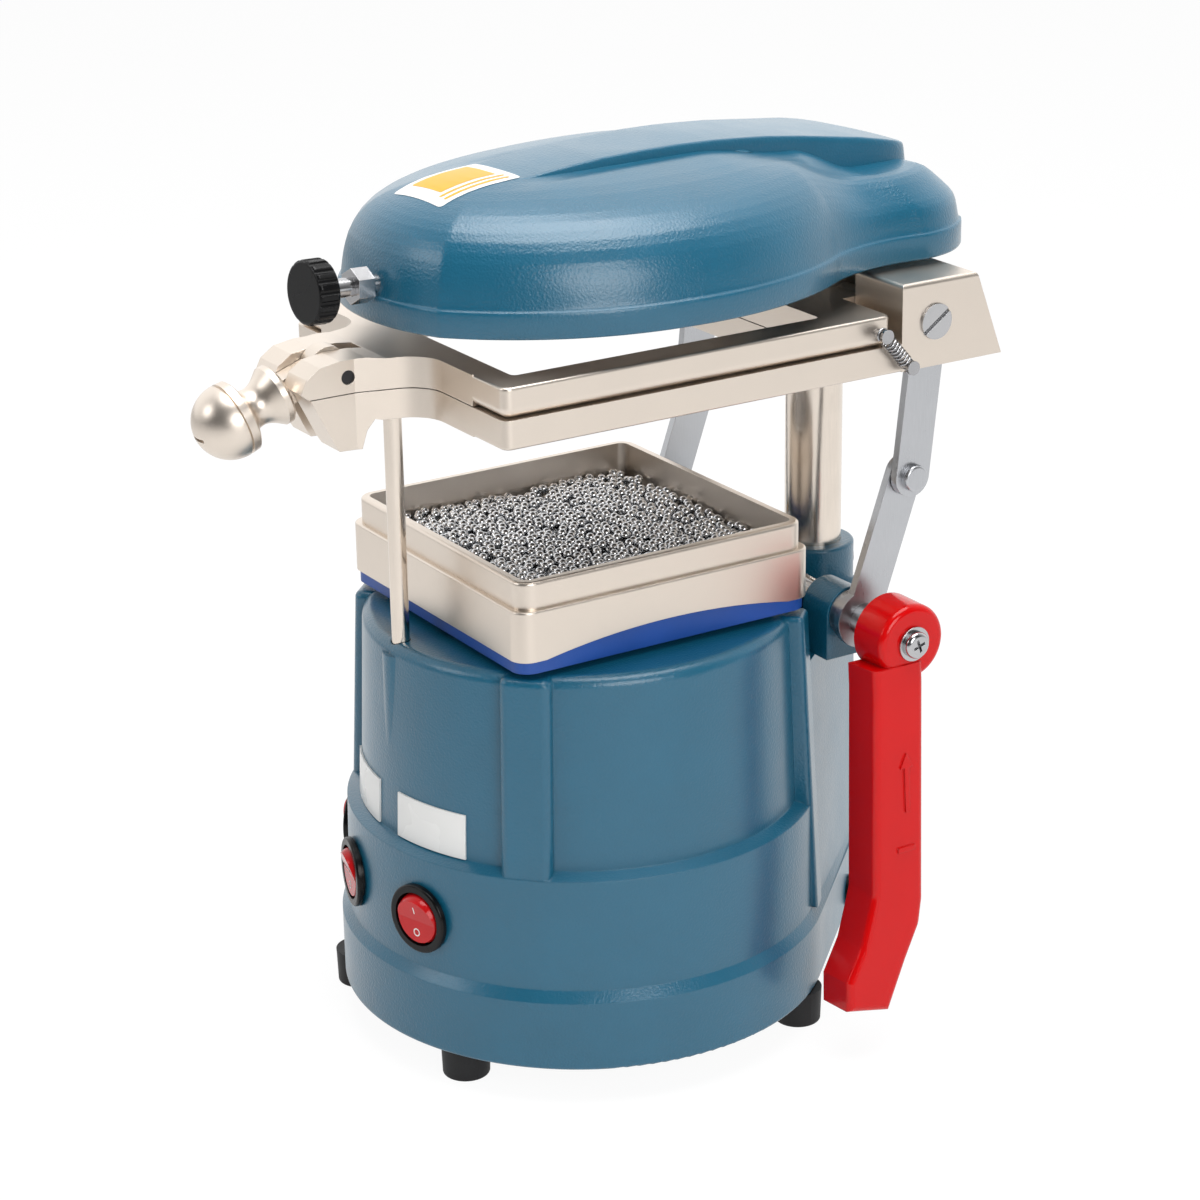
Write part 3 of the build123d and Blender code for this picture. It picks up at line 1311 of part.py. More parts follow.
def build_all():
    pieces = {
        "base_housing": base_housing, "base_plate": base_plate, "base_plate_screws": base_plate_screws,
        "rubber_feet": rubber_feet, "feet_screws": feet_screws, "vacuum_motor": vacuum_motor,
        "motor_bearings": motor_bearings, "turbine_housing": turbine_housing, "turbine_seal": turbine_seal,
        "turbine_rotor": turbine_rotor, "rear_bracket": rear_bracket, "bracket_bolts": bracket_bolts,
        "shaft_bushes": shaft_bushes, "post": post, "post_set_screws": post_set_screws,
        "guide_bush": guide_bush, "heater_lead": heater_lead, "cable_gland": cable_gland,
        "box_gasket": box_gasket, "vacuum_box": vacuum_box, "suction_screen": suction_screen,
        "switch_bezels": switch_bezels, "label_plates": label_plates, "ball_tray": ball_tray,
        "ball_bed": ball_bed, "lower_frame": lower_frame, "post_bush": post_bush, "guide_rod": guide_rod,
        "frame_hinge_pins": frame_hinge_pins, "link_screws": link_screws, "upper_frame": upper_frame,
        "handle_pivot_pin": handle_pivot_pin, "frame_springs": frame_springs,
        "handle_tongue": handle_tongue, "ball_handle": ball_handle, "cross_shaft": cross_shaft,
        "shaft_collars": shaft_collars, "lever_arm": lever_arm, "lever_screw": lever_screw,
        "lever_washer": lever_washer, "link_pins": link_pins,
    }
    heater_pieces = {
        "heater_shell": heater_shell, "heater_reflector": heater_reflector,
        "heating_element": heating_element, "heater_insulation": heater_insulation,
        "heater_studs": heater_studs, "heater_hub": heater_hub, "hub_screws": hub_screws,
        "knob_stud": knob_stud, "knob_nut": knob_nut, "heat_knob": heat_knob,
    }
    for node, make in pieces.items():
        save(make(), node)
    for node, make in heater_pieces.items():
        save(turned(make()), node)
    save(spring_pegs(lower_peg), "lower_spring_pegs")
    save(spring_pegs(upper_peg), "upper_spring_pegs")
    for side, name in ((1, "right"), (-1, "left")):
        save(crank(side), f"crank_{name}")
        save(link(side), f"link_{name}")
    for angle, name in zip(switch_angles, ("heat", "vacuum", "power")):
        save(rocker(angle), f"rocker_{name}")


if __name__ == "__main__":
    os.makedirs("parts", exist_ok=True)
    build_all()
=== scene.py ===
import math

import bmesh
import bpy
import numpy as np
from bpy.props import FloatProperty, FloatVectorProperty, IntProperty, PointerProperty
from mathutils import Matrix, Vector
from mathutils.bvhtree import BVHTree


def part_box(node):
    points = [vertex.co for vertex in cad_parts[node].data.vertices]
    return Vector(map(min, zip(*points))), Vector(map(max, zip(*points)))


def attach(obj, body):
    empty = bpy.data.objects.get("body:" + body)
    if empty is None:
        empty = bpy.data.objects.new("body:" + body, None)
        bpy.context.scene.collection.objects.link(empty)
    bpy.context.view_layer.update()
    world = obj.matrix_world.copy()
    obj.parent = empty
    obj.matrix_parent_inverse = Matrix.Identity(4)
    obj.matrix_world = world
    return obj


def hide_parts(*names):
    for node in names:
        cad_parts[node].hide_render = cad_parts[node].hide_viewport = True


bl_info = {
    "name": "Dental vacuum former",
    "version": (1, 0, 0),
    "blender": (4, 5, 0),
    "location": "3D View > Sidebar > Vacuum former",
    "description": "Builds the looks of a bench vacuum former over its measured frame",
    "category": "Object",
}

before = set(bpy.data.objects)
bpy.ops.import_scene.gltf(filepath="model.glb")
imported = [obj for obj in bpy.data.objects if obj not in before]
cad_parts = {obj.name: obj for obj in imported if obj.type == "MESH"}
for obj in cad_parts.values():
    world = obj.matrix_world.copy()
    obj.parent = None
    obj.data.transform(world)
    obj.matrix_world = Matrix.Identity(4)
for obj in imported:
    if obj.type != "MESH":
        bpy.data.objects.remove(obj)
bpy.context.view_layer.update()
mm = 0.001


def screen(red, green, blue):
    """Linear colour from the 0 to 255 values seen on a screen."""
    def linear(value):
        value /= 255
        return value / 12.92 if value <= 0.04045 else ((value + 0.055) / 1.055) ** 2.4
    return (linear(red), linear(green), linear(blue))


# ---------------------------------------------------------------- settings

class FormerColours(bpy.types.PropertyGroup):
    blue_enamel: FloatVectorProperty(
        name="Blue enamel", description="Stove enamel on the base and the heater",
        subtype="COLOR", size=3, min=0, max=1, default=screen(16, 92, 120))
    warm_nickel: FloatVectorProperty(
        name="Warm nickel", description="Satin nickel of the frame, tray and handle",
        subtype="COLOR", size=3, min=0, max=1, default=screen(226, 215, 203))
    red_enamel: FloatVectorProperty(
        name="Red enamel", description="Gloss enamel of the lever",
        subtype="COLOR", size=3, min=0, max=1, default=screen(206, 6, 8))
    gasket_blue: FloatVectorProperty(
        name="Gasket blue", description="Silicone rubber under the suction box",
        subtype="COLOR", size=3, min=0, max=1, default=screen(20, 74, 158))
    rocker_red: FloatVectorProperty(
        name="Rocker red", description="Clear red plastic of the switch rockers",
        subtype="COLOR", size=3, min=0, max=1, default=screen(196, 24, 28))
    plate_white: FloatVectorProperty(
        name="Plate white", description="Printed white of the plates and the sticker",
        subtype="COLOR", size=3, min=0, max=1, default=screen(236, 236, 234))


class FormerSizes(bpy.types.PropertyGroup):
    ball_diameter: FloatProperty(
        name="Ball diameter", description="Diameter of the steel balls in the tray",
        unit="LENGTH", default=3.3 * mm, min=2 * mm, max=6 * mm)
    ball_layers: IntProperty(
        name="Ball layers", description="Layers of balls modelled at the top of the bed",
        default=2, min=1, max=4)
    peel_size: FloatProperty(
        name="Orange peel", description="Width of one dimple in the enamel",
        unit="LENGTH", default=0.75 * mm, min=0.2 * mm, max=5 * mm)
    edge_radius: FloatProperty(
        name="Edge radius", description="Softening of the edges of cast and plated pieces",
        unit="LENGTH", default=0.5 * mm, min=0, max=3 * mm)


class FormerStage(bpy.types.PropertyGroup):
    floor_colour: FloatVectorProperty(
        name="Floor colour", description="Pale floor under the machine",
        subtype="COLOR", size=3, min=0, max=1, default=(0.86, 0.86, 0.86))
    key_power: FloatProperty(
        name="Key lamp", description="Power of the large soft lamp overhead",
        unit="POWER", default=19.0, min=0)
    side_power: FloatProperty(
        name="Side lamp", description="Power of the soft lamp on the lever side",
        unit="POWER", default=10.0, min=0)
    fill_power: FloatProperty(
        name="Fill lamp", description="Power of the soft lamp at the front left",
        unit="POWER", default=3.5, min=0)
    sky_level: FloatProperty(
        name="Sky level", description="Brightness of the even light all round",
        default=0.30, min=0, max=2)
    front_level: FloatProperty(
        name="Front level", description="Brightness of the room behind the camera, as the metal mirrors it",
        default=0.06, min=0, max=1)
    back_level: FloatProperty(
        name="Back level", description="Brightness of the room opposite the camera, as the finishes mirror it",
        default=1.25, min=0, max=2)


# ---------------------------------------------------------------- shader helpers

def add(tree, kind, values=None, **settings):
    """New node, with its settings and the values of its input sockets."""
    made = tree.nodes.new(kind)
    for name, value in settings.items():
        setattr(made, name, value)
    for socket, value in (values or {}).items():
        if isinstance(value, bpy.types.NodeSocket):
            tree.links.new(value, made.inputs[socket])
        else:
            made.inputs[socket].default_value = value
    return made


def maths(tree, operation, a, b):
    """Result of one sum on two numbers or sockets."""
    return add(tree, "ShaderNodeMath", {0: a, 1: b}, operation=operation).outputs[0]


def ranged(tree, value, low, high, to_low, to_high):
    """A value carried from one range to another and held inside it."""
    made = add(tree, "ShaderNodeMapRange",
               {"Value": value, "From Min": low, "From Max": high, "To Min": to_low, "To Max": to_high})
    return made.outputs["Result"]


def blended(tree, share, first, second):
    """Colour between two colours or sockets by the share of a socket from 0 to 1."""
    share_input, first_input, second_input, colour_output = 0, 6, 7, 2
    made = add(tree, "ShaderNodeMix", {share_input: share}, data_type="RGBA")
    for socket, value in ((first_input, first), (second_input, second)):
        if isinstance(value, bpy.types.NodeSocket):
            tree.links.new(value, made.inputs[socket])
        else:
            made.inputs[socket].default_value = (*value, 1.0)
    return made.outputs[colour_output]


def new_group(name, inputs, outputs):
    """Empty shader group with its named sockets, its input node and its output node."""
    tree = bpy.data.node_groups.new(name, "ShaderNodeTree")
    for label, kind, default in inputs:
        socket = tree.interface.new_socket(label, in_out="INPUT", socket_type=kind)
        socket.default_value = default
    for label, kind in outputs:
        tree.interface.new_socket(label, in_out="OUTPUT", socket_type=kind)
    return tree, tree.nodes.new("NodeGroupInput").outputs, tree.nodes.new("NodeGroupOutput").inputs


def scaled_place(tree, size):
    """Object coordinates counted in sizes."""
    place = add(tree, "ShaderNodeTexCoord").outputs["Object"]
    rate = maths(tree, "DIVIDE", 1.0, size)
    return add(tree, "ShaderNodeVectorMath", {0: place, "Scale": rate}, operation="SCALE").outputs[0]


def make_peel_group():
    """Orange peel of thick enamel or moulded plastic."""
    tree, given, result = new_group(
        "Orange peel", [("Size", "NodeSocketFloat", 0.0013)],
        [("Height", "NodeSocketFloat"), ("Shade", "NodeSocketFloat")])
    place = scaled_place(tree, given["Size"])
    cells = add(tree, "ShaderNodeTexVoronoi", {"Vector": place, "Scale": 1.0, "Smoothness": 1.0},
                feature="SMOOTH_F1").outputs["Distance"]
    waves = add(tree, "ShaderNodeTexNoise", {"Vector": place, "Scale": 0.9, "Detail": 2.0}).outputs["Fac"]
    both = maths(tree, "ADD", maths(tree, "MULTIPLY", cells, 0.55), maths(tree, "MULTIPLY", waves, 0.8))
    tree.links.new(both, result["Height"])
    slow = add(tree, "ShaderNodeTexNoise", {"Vector": place, "Scale": 0.035, "Detail": 3.0}).outputs["Fac"]
    tree.links.new(ranged(tree, slow, 0.3, 0.7, 0.0, 1.0), result["Shade"])
    return tree


def make_grain_group():
    """Fine grain drawn out along one direction, as on brushed or ground metal."""
    tree, given, result = new_group(
        "Metal grain", [("Size", "NodeSocketFloat", 0.0004), ("Stretch", "NodeSocketVector", (1, 1, 1))],
        [("Height", "NodeSocketFloat"), ("Shade", "NodeSocketFloat")])
    place = scaled_place(tree, given["Size"])
    drawn = add(tree, "ShaderNodeVectorMath", {0: place, 1: given["Stretch"]}, operation="MULTIPLY").outputs[0]
    fine = add(tree, "ShaderNodeTexNoise", {"Vector": drawn, "Scale": 1.0, "Detail": 2.0}).outputs["Fac"]
    tree.links.new(fine, result["Height"])
    cloud = add(tree, "ShaderNodeTexNoise", {"Vector": place, "Scale": 0.02, "Detail": 3.0}).outputs["Fac"]
    mixed = maths(tree, "ADD", maths(tree, "MULTIPLY", fine, 0.45), maths(tree, "MULTIPLY", cloud, 0.55))
    tree.links.new(ranged(tree, mixed, 0.35, 0.65, 0.0, 1.0), result["Shade"])
    return tree


def make_edge_group():
    """Softened edges, and a broken mask along them that the finishes lighten: partly rubbing of the finish,
    partly painted edge highlight.
    """
    tree, given, result = new_group(
        "Rubbed edges and painted highlight", [("Radius", "NodeSocketFloat", 0.0005)],
        [("Mask", "NodeSocketFloat"), ("Normal", "NodeSocketVector")])
    soft = add(tree, "ShaderNodeBevel", {"Radius": given["Radius"]}, samples=4).outputs[0]
    true = add(tree, "ShaderNodeNewGeometry").outputs["Normal"]
    facing = add(tree, "ShaderNodeVectorMath", {0: soft, 1: true}, operation="DOT_PRODUCT").outputs["Value"]
    edge = ranged(tree, facing, 0.97, 0.80, 0.0, 1.0)
    place = add(tree, "ShaderNodeTexCoord").outputs["Object"]
    patches = add(tree, "ShaderNodeTexNoise", {"Vector": place, "Scale": 170.0, "Detail": 4.0}).outputs["Fac"]
    broken = maths(tree, "MULTIPLY", edge, ranged(tree, patches, 0.44, 0.62, 0.0, 1.0))
    tree.links.new(broken, result["Mask"])
    tree.links.new(soft, result["Normal"])
    return tree


def make_dust_group():
    """Faint dust on the faces that look up."""
    tree, given, result = new_group(
        "Settled dust", [("Amount", "NodeSocketFloat", 0.1)], [("Mask", "NodeSocketFloat")])
    normal = add(tree, "ShaderNodeNewGeometry").outputs["Normal"]
    height = add(tree, "ShaderNodeSeparateXYZ", {0: normal}).outputs["Z"]
    upward = ranged(tree, height, 0.5, 1.0, 0.0, 1.0)
    place = add(tree, "ShaderNodeTexCoord").outputs["Object"]
    specks = add(tree, "ShaderNodeTexNoise", {"Vector": place, "Scale": 60.0, "Detail": 8.0}).outputs["Fac"]
    share = maths(tree, "MULTIPLY", upward, ranged(tree, specks, 0.4, 0.75, 0.0, 1.0))
    tree.links.new(maths(tree, "MULTIPLY", share, given["Amount"]), result["Mask"])
    return tree


groups = {}


def placed(tree, name, **values):
    """A shared group placed in a material with its own values."""
    made = add(tree, "ShaderNodeGroup", node_tree=groups[name])
    for label, value in values.items():
        made.inputs[label].default_value = value
    return made.outputs


def finish(name, colour, rough, metal=0.0, grain="peel", size=1.3 * mm, stretch=(1, 1, 1), bump=0.1,
           tint=0.06, spread=0.06, edge=0.4 * mm, rubbed_and_lit_edge_colour=None, rubbed_and_lit_edge_share=0.0, dust=0.0, **sockets):
    """Surface finish: base colour, roughness range, grain, softened edges lightened by rubbing and by painted
    edge highlight, and dust round one shader.
    """
    made = bpy.data.materials.new(name)
    made.use_nodes = True
    tree = made.node_tree
    shader = tree.nodes["Principled BSDF"]
    shader.inputs["Metallic"].default_value = metal
    for label, value in sockets.items():
        shader.inputs[label.replace("_", " ")].default_value = value
    if grain == "peel":
        texture = placed(tree, "peel", Size=size)
    else:
        texture = placed(tree, "grain", Size=size, Stretch=stretch)
    edges = placed(tree, "edges", Radius=edge)
    darker = [c * (1 - tint) for c in colour]
    lighter = [min(1.0, c * (1 + tint)) for c in colour]
    shown = blended(tree, texture["Shade"], darker, lighter)
    roughness = ranged(tree, texture["Shade"], 0.0, 1.0, rough - spread, rough + spread)
    # Edges blended toward the edge colour, which is lighter than the finish in most of them: partly rubbed
    # finish, partly painted edge highlight. On the white plates it is darker rubbed dirt.
    if rubbed_and_lit_edge_share > 0:
        mask = maths(tree, "MULTIPLY", edges["Mask"], rubbed_and_lit_edge_share)
        shown = blended(tree, mask, shown, rubbed_and_lit_edge_colour)
    if dust > 0:
        settled = placed(tree, "dust", Amount=dust)["Mask"]
        shown = blended(tree, settled, shown, screen(205, 200, 192))
        roughness = maths(tree, "ADD", roughness, maths(tree, "MULTIPLY", settled, 0.5))
    tree.links.new(shown, shader.inputs["Base Color"])
    tree.links.new(roughness, shader.inputs["Roughness"])
    relief = add(tree, "ShaderNodeBump", {"Height": texture["Height"], "Normal": edges["Normal"],
                                          "Strength": bump, "Distance": size * 0.5})
    tree.links.new(relief.outputs[0], shader.inputs["Normal"])


# ---------------------------------------------------------------- mesh helpers

def mesh_piece(name, points, faces, body, finish_name, smooth=True):
    """Object from points in metres, riding on a body, with its finish."""
    data = bpy.data.meshes.new(name)
    data.from_pydata([tuple(p) for p in points], [], [tuple(f) for f in faces])
    data.update()
    piece = bpy.data.objects.new(name, data)
    bpy.context.scene.collection.objects.link(piece)
    data.materials.append(bpy.data.materials[finish_name])
    if smooth:
        data.shade_smooth()
    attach(piece, body)
    return piece


def arc_through(start, middle, end, count):
    """Points along the circle through three plan points, the last one left out."""
    (ax, ay), (bx, by), (cx, cy) = start, middle, end
    d = 2 * (ax * (by - cy) + bx * (cy - ay) + cx * (ay - by))
    a2, b2, c2 = ax * ax + ay * ay, bx * bx + by * by, cx * cx + cy * cy
    ux = (a2 * (by - cy) + b2 * (cy - ay) + c2 * (ay - by)) / d
    uy = (a2 * (cx - bx) + b2 * (ax - cx) + c2 * (bx - ax)) / d
    radius = math.hypot(ax - ux, ay - uy)
    first = math.atan2(ay - uy, ax - ux)
    turn = math.atan2(cy - uy, cx - ux) - first
    mid = math.atan2(by - uy, bx - ux) - first
    turn = (turn + math.pi) % (2 * math.pi) - math.pi
    mid = (mid + math.pi) % (2 * math.pi) - math.pi
    if turn * mid < 0:
        turn -= math.copysign(2 * math.pi, turn)
    return [(ux + radius * math.cos(first + turn * i / count), uy + radius * math.sin(first + turn * i / count))
            for i in range(count)]


def eased(value, low, high):
    """Smooth step from 0 at the low value to 1 at the high one."""
    t = np.clip((value - low) / (high - low), 0, 1)
    return t * t * (3 - 2 * t)


def ring_faces(rings, count, closed_ends=(False, False)):
    """Quads between rings of count points each, with a fan over an end where asked."""
    faces = []
    for r in range(rings - 1):
        for i in range(count):
            j = (i + 1) % count
            faces.append((r * count + i, r * count + j, (r + 1) * count + j, (r + 1) * count + i))
    if closed_ends[0]:
        faces.append(tuple(reversed(range(count))))
    if closed_ends[1]:
        faces.append(tuple((rings - 1) * count + i for i in range(count)))
    return faces


# ---------------------------------------------------------------- heater dome

heater_turn = math.radians(5.0)
post_y = 97.9
heater_middle = 30.0
heater_bottom, heater_skirt, heater_top = 261.0, 269.6, 304.1
heater_half, heater_reach = 67.8, 150.0
shell_wall = 2.0
dome_foot = 0.9823


def swung(points):
    """Points of the heater in millimetres, swung about the post to where it rests."""
    c, s = math.cos(heater_turn), math.sin(heater_turn)
    x, y = points[:, 0], points[:, 1] - post_y
    return np.column_stack([x * c - y * s, post_y + x * s + y * c, points[:, 2]])


def heater_outline():
    """Plan of the heater's skirt, anticlockwise from the front left, in millimetres."""
    right = arc_through((28.0, -77.9), (53.6, -50.2), (67.4, -12.0), 64)
    right += arc_through((67.4, -12.0), (67.2, 27.9), (55.6, 60.0), 64)
    right += arc_through((55.6, 60.0), (51.2, 77.5), (52.8, 100.4), 36)
    rear_half, rear_y, rear_steps = 41.65, 126.5, 84
    right += arc_through((52.8, 100.4), (50.3, 115.2), (rear_half, rear_y), 28)
    front = arc_through((-28.0, -77.9), (0.0, -83.3), (28.0, -77.9), 70)
    rear = [(rear_half - 2 * rear_half * i / rear_steps, rear_y) for i in range(rear_steps + 1)]
    left = [(-x, y) for x, y in reversed(right)]
    return np.array(front + right + rear + left[:-1])


def drawn_in(outline, k):
    """The outline drawn in by a factor, less at its two ends."""
    long_scale = 1 - (1 - k) * heater_half / heater_reach
    return np.column_stack([outline[:, 0] * k, heater_middle + (outline[:, 1] - heater_middle) * long_scale])


def dome_rise(k):
    """Height above the skirt for a ring drawn in by a factor."""
    ks = [0.0, 0.2, 0.3, 0.4, 0.5, 0.6, 0.67, 0.73, 0.79, 0.84, 0.885, 0.92, 0.947, 0.965, 0.979, 0.988,
          0.995, 1.0]
    rise = [32.2, 32.1, 31.8, 31.1, 30.1, 28.7, 27.3, 25.9, 24.1, 22.1, 19.6, 16.8, 13.8, 10.8, 7.8, 5.0,
            2.4, 0.0]
    return np.interp(k, ks, rise)


def tail_rise(k):
    """The same at the tail: an upright wall, a sloping shoulder and a flat top."""
    ks = [0.0, 0.70, 0.76, 0.80, 0.84, 0.90, 0.94, 0.965, 0.98, 0.99, 1.0]
    rise = [18.2, 18.2, 17.9, 17.0, 15.3, 12.2, 10.0, 8.2, 6.2, 3.6, 0.0]
    return np.interp(k, ks, rise)


def ridge_height(y):
    """Height of the spine's top above the skirt's bottom along the heater."""
    ys = [-66, -62, -56, -51, -43, -36, -26, -16, -5, 10, 26, 40, 50, 62, 75, 88, 99, 108, 115, 120, 125]
    zs = [30.2, 32.4, 35.0, 36.8, 38.9, 40.1, 41.2, 42.0, 42.7, 43.05, 43.0, 42.5, 41.8, 40.8, 39.2, 37.4, 35.9,
          34.2, 32.6, 31.2, 29.6]
    return np.interp(y, ys, zs)


def dome_top(plan, k):
    """Heights of the dome: a crown that scoops down to the flat tail beside the spine."""
    x, y = np.abs(plan[:, 0]), plan[:, 1]
    near = 0.36 * eased(y, 30, 76) + 0.64 * eased(y, 70, 94)
    far = eased(y, 52, 84)
    outer = eased(k, 0.42, 0.80)
    share = near * (1 - outer) + far * outer
    base = heater_skirt + dome_rise(k) * (1 - share) + tail_rise(k) * share
    groove_x, groove_width, groove_depth = 17.0, 4.0, 0.8
    groove = groove_depth * np.exp(-((x - groove_x) / groove_width) ** 2)
    return base - groove * eased(y, -50, -10) * (1 - eased(y, 60, 80))


def build_heater_dome():
    """Hollow shell of the heater: its inner wall, the skirt and the dome above, ring by ring."""
    outline = heater_outline()
    count = len(outline)
    inner = 1 - shell_wall / heater_half
    roof = 2.2
    rings = []
    for k in np.concatenate([np.linspace(0.05, 0.9, 14), np.linspace(0.93, 0.999, 6)]):
        plan = drawn_in(outline, k * inner * 0.982)
        share = eased(plan[:, 1], 50, 74)
        rise = dome_rise(k) * (1 - share) + tail_rise(k) * share
        rings.append(np.column_stack([plan, heater_skirt + rise - roof]))
    skirt = [(inner, heater_skirt - 2.5), (inner, heater_bottom + 0.5), (inner + 0.005, heater_bottom),
             (0.995, heater_bottom), (1.0, heater_bottom + 0.6), (1.0, heater_skirt - 1.3),
             (0.9985, heater_skirt - 0.45), (0.995, heater_skirt - 0.1), (0.988, heater_skirt),
             (0.9845, heater_skirt + 0.1), (0.9825, heater_skirt + 0.5)]
    for k, z in skirt:
        rings.append(np.column_stack([drawn_in(outline, k), np.full(count, z)]))
    for k in np.concatenate([np.linspace(0.997, 0.9, 26), np.linspace(0.893, 0.5, 60),
                             np.linspace(0.49, 0.02, 40)]):
        plan = drawn_in(outline, k * dome_foot)
        rings.append(np.column_stack([plan, dome_top(plan, k)]))
    points = np.vstack(rings)
    points[:, 2] = np.minimum(points[:, 2], heater_top)
    faces = ring_faces(len(rings), count, (True, True))
    piece = mesh_piece("heater_dome", swung(points) * mm, faces, "heater", "Blue enamel")
    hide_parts("heater_shell")


def spine_outline(count):
    """Plan of the spine's top in even steps, with its corners smoothed."""
    right = [(12.0, -62.0), (13.0, -54.0), (13.8, -42.0), (14.3, -25.0), (14.7, -5.0), (15.4, 15.0),
             (16.5, 40.0), (17.2, 58.0), (18.3, 76.0), (20.4, 90.0), (21.8, 99.0), (22.5, 107.0), (22.3, 114.0),
             (21.0, 118.6), (17.8, 121.8), (12.0, 123.2), (0.0, 123.6)]
    corners = np.array([(-x, y) for x, y in reversed(right[:-1])] + [(0.0, -66.0)] + right)
    closed = np.vstack([corners[-1:], corners])
    steps = np.concatenate([[0], np.cumsum(np.hypot(*np.diff(closed, axis=0).T))])
    at = np.arange(count) / count * steps[-1]
    outline = np.column_stack([np.interp(at, steps, closed[:, axis]) for axis in (0, 1)])
    smoothing = 14
    for _ in range(smoothing):
        outline = (np.roll(outline, 1, 0) + 2 * outline + np.roll(outline, -1, 0)) / 4
    return outline


def build_heater_spine():
    """Raised spine along the top of the dome, with crisp rounded edges and a steep wall."""
    count = 360
    edge, crown = 1.0, 0.35
    outline = spine_outline(count)
    along = np.roll(outline, -1, 0) - np.roll(outline, 1, 0)
    outward = np.column_stack([along[:, 1], -along[:, 0]]) / np.hypot(*along.T)[:, None]
    profile = [(2.6, -17.0), (1.0, -8.0), (0.35, -edge - 1.2), (0.12, -edge - 0.1)]
    profile += [(-edge * (1 - math.cos(t)), -edge * (1 - math.sin(t))) for t in np.linspace(0.15, 1.5, 6)]
    rings = []
    for out, drop in profile:
        height = heater_bottom + ridge_height(outline[:, 1]) + drop
        rings.append(np.column_stack([outline + outward * out, height]))
    last = outline - outward * edge
    for k in (0.97, 0.92, 0.84, 0.74, 0.62, 0.5, 0.38, 0.26, 0.14, 0.05):
        height = heater_bottom + ridge_height(last[:, 1]) + crown * (1 - k * k)
        rings.append(np.column_stack([last[:, 0] * k, last[:, 1], height]))
    points = np.vstack(rings)
    points[:, 2] = np.minimum(points[:, 2], heater_top)
    faces = ring_faces(len(rings), count)
    # strip that closes the last ring, from the rear tip to the front
    start = (len(rings) - 1) * count
    tip = int(np.argmax(last[:, 1]))
    for i in range(count // 2 - 1):
        left = [start + (tip + step) % count for step in (i, i + 1)]
        right = [start + (tip - step) % count for step in (i + 1, i)]
        faces.append((*left, *right) if i else (*left, right[0]))
    mesh_piece("heater_spine", swung(points) * mm, faces, "heater", "Blue enamel")


# ---------------------------------------------------------------- steel balls

def settled_balls(radius, layers):
    """Places of the balls at the top of the bed, scattered and then pushed apart until they only touch."""
    low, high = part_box("ball_bed")
    rng = np.random.default_rng(7)
    rounds = 90
    crowding = 1.06
    top = high.z - radius
    across = high.x - low.x - 2 * radius
    each = int((across / (2 * radius)) ** 2 * crowding)
    places = []
    for layer in range(layers):
        level = top - layer * radius * 1.6
        spot = rng.uniform(0, 1, (each, 3)) * (across, high.y - low.y - 2 * radius, radius * 1.1)
        places.append(spot + (low.x + radius, low.y + radius, level - radius * 0.4))
    places = np.vstack(places)
    own = np.eye(len(places))
    for _ in range(rounds):
        gap = places[:, None, :] - places[None, :, :]
        far = np.sqrt((gap ** 2).sum(-1)) + own
        push = np.clip(2 * radius - far, 0, None) * (1 - own)
        places = places + ((gap / far[..., None]) * push[..., None]).sum(1) * 0.3
        places[:, 2] -= radius * 0.01
        places[:, 0] = np.clip(places[:, 0], low.x + radius, high.x - radius)
        places[:, 1] = np.clip(places[:, 1], low.y + radius, high.y - radius)
        places[:, 2] = np.clip(places[:, 2], top - layers * radius * 1.7, top + radius * 0.3)
    return places


def build_steel_balls():
    """Single balls over a plain floor that closes the view between them."""
    sizes = bpy.context.scene.former_sizes
    radius = sizes.ball_diameter / 2
    places = settled_balls(radius, sizes.ball_layers)
    shape = bmesh.new()
    bmesh.ops.create_icosphere(shape, subdivisions=2, radius=radius)
    ball = np.array([v.co[:] for v in shape.verts])
    corners = np.array([[v.index for v in f.verts] for f in shape.faces])
    shape.free()
    rng = np.random.default_rng(11)
    points, faces = [], []
    for i, place in enumerate(places):
        spin, lean = rng.uniform(0, math.pi, 2)
        turn = np.array(Matrix.Rotation(spin, 3, "Z") @ Matrix.Rotation(lean, 3, "X"))
        points.append(ball @ turn.T + place)
        faces.append(corners + i * len(ball))
    low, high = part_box("ball_bed")
    floor = places[:, 2].min() - 0.2 * radius
    start = len(places) * len(ball)
    points.append(np.array([(low.x, low.y, floor), (high.x, low.y, floor), (high.x, high.y, floor),
                            (low.x, high.y, floor)]))
    faces = [tuple(f) for block in faces for f in block] + [(start, start + 1, start + 2, start + 3)]
    piece = mesh_piece("steel_balls", np.vstack(points), faces, "tray", "Polished balls")
    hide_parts("ball_bed")


# ---------------------------------------------------------------- sticker on the heater

def patch_on(tree, name, sides, corner, lift, finish_name):
    """Thin sheet with rounded corners laid on the dome, between four sides on the heater's own plan."""
    x0, x1, y0, y1 = sides
    steps = 26
    above = 330.0
    points, faces = [], []
    for i in range(steps + 1):
        for j in range(steps + 1):
            x, y = x0 + (x1 - x0) * i / steps, y0 + (y1 - y0) * j / steps
            ex, ey = max(x0 + corner - x, x - x1 + corner, 0), max(y0 + corner - y, y - y1 + corner, 0)
            reach = math.hypot(ex, ey)
            if ex > 0 and ey > 0 and reach > corner:
                x += (ex - ex * corner / reach) * (1 if x < (x0 + x1) / 2 else -1)
                y += (ey - ey * corner / reach) * (1 if y < (y0 + y1) / 2 else -1)
            place = swung(np.array([[x, y, above]]))[0] * mm
            hit = tree.ray_cast(Vector(place), Vector((0, 0, -1)))[0]
            if hit is None:
                raise RuntimeError(f"{name} misses the dome at {x:.1f}, {y:.1f}")
            points.append((hit.x, hit.y, hit.z + lift))
    for i in range(steps):
        for j in range(steps):
            a = i * (steps + 1) + j
            faces.append((a, a + steps + 1, a + steps + 2, a + 1))
    mesh_piece(name, points, faces, "heater", finish_name)


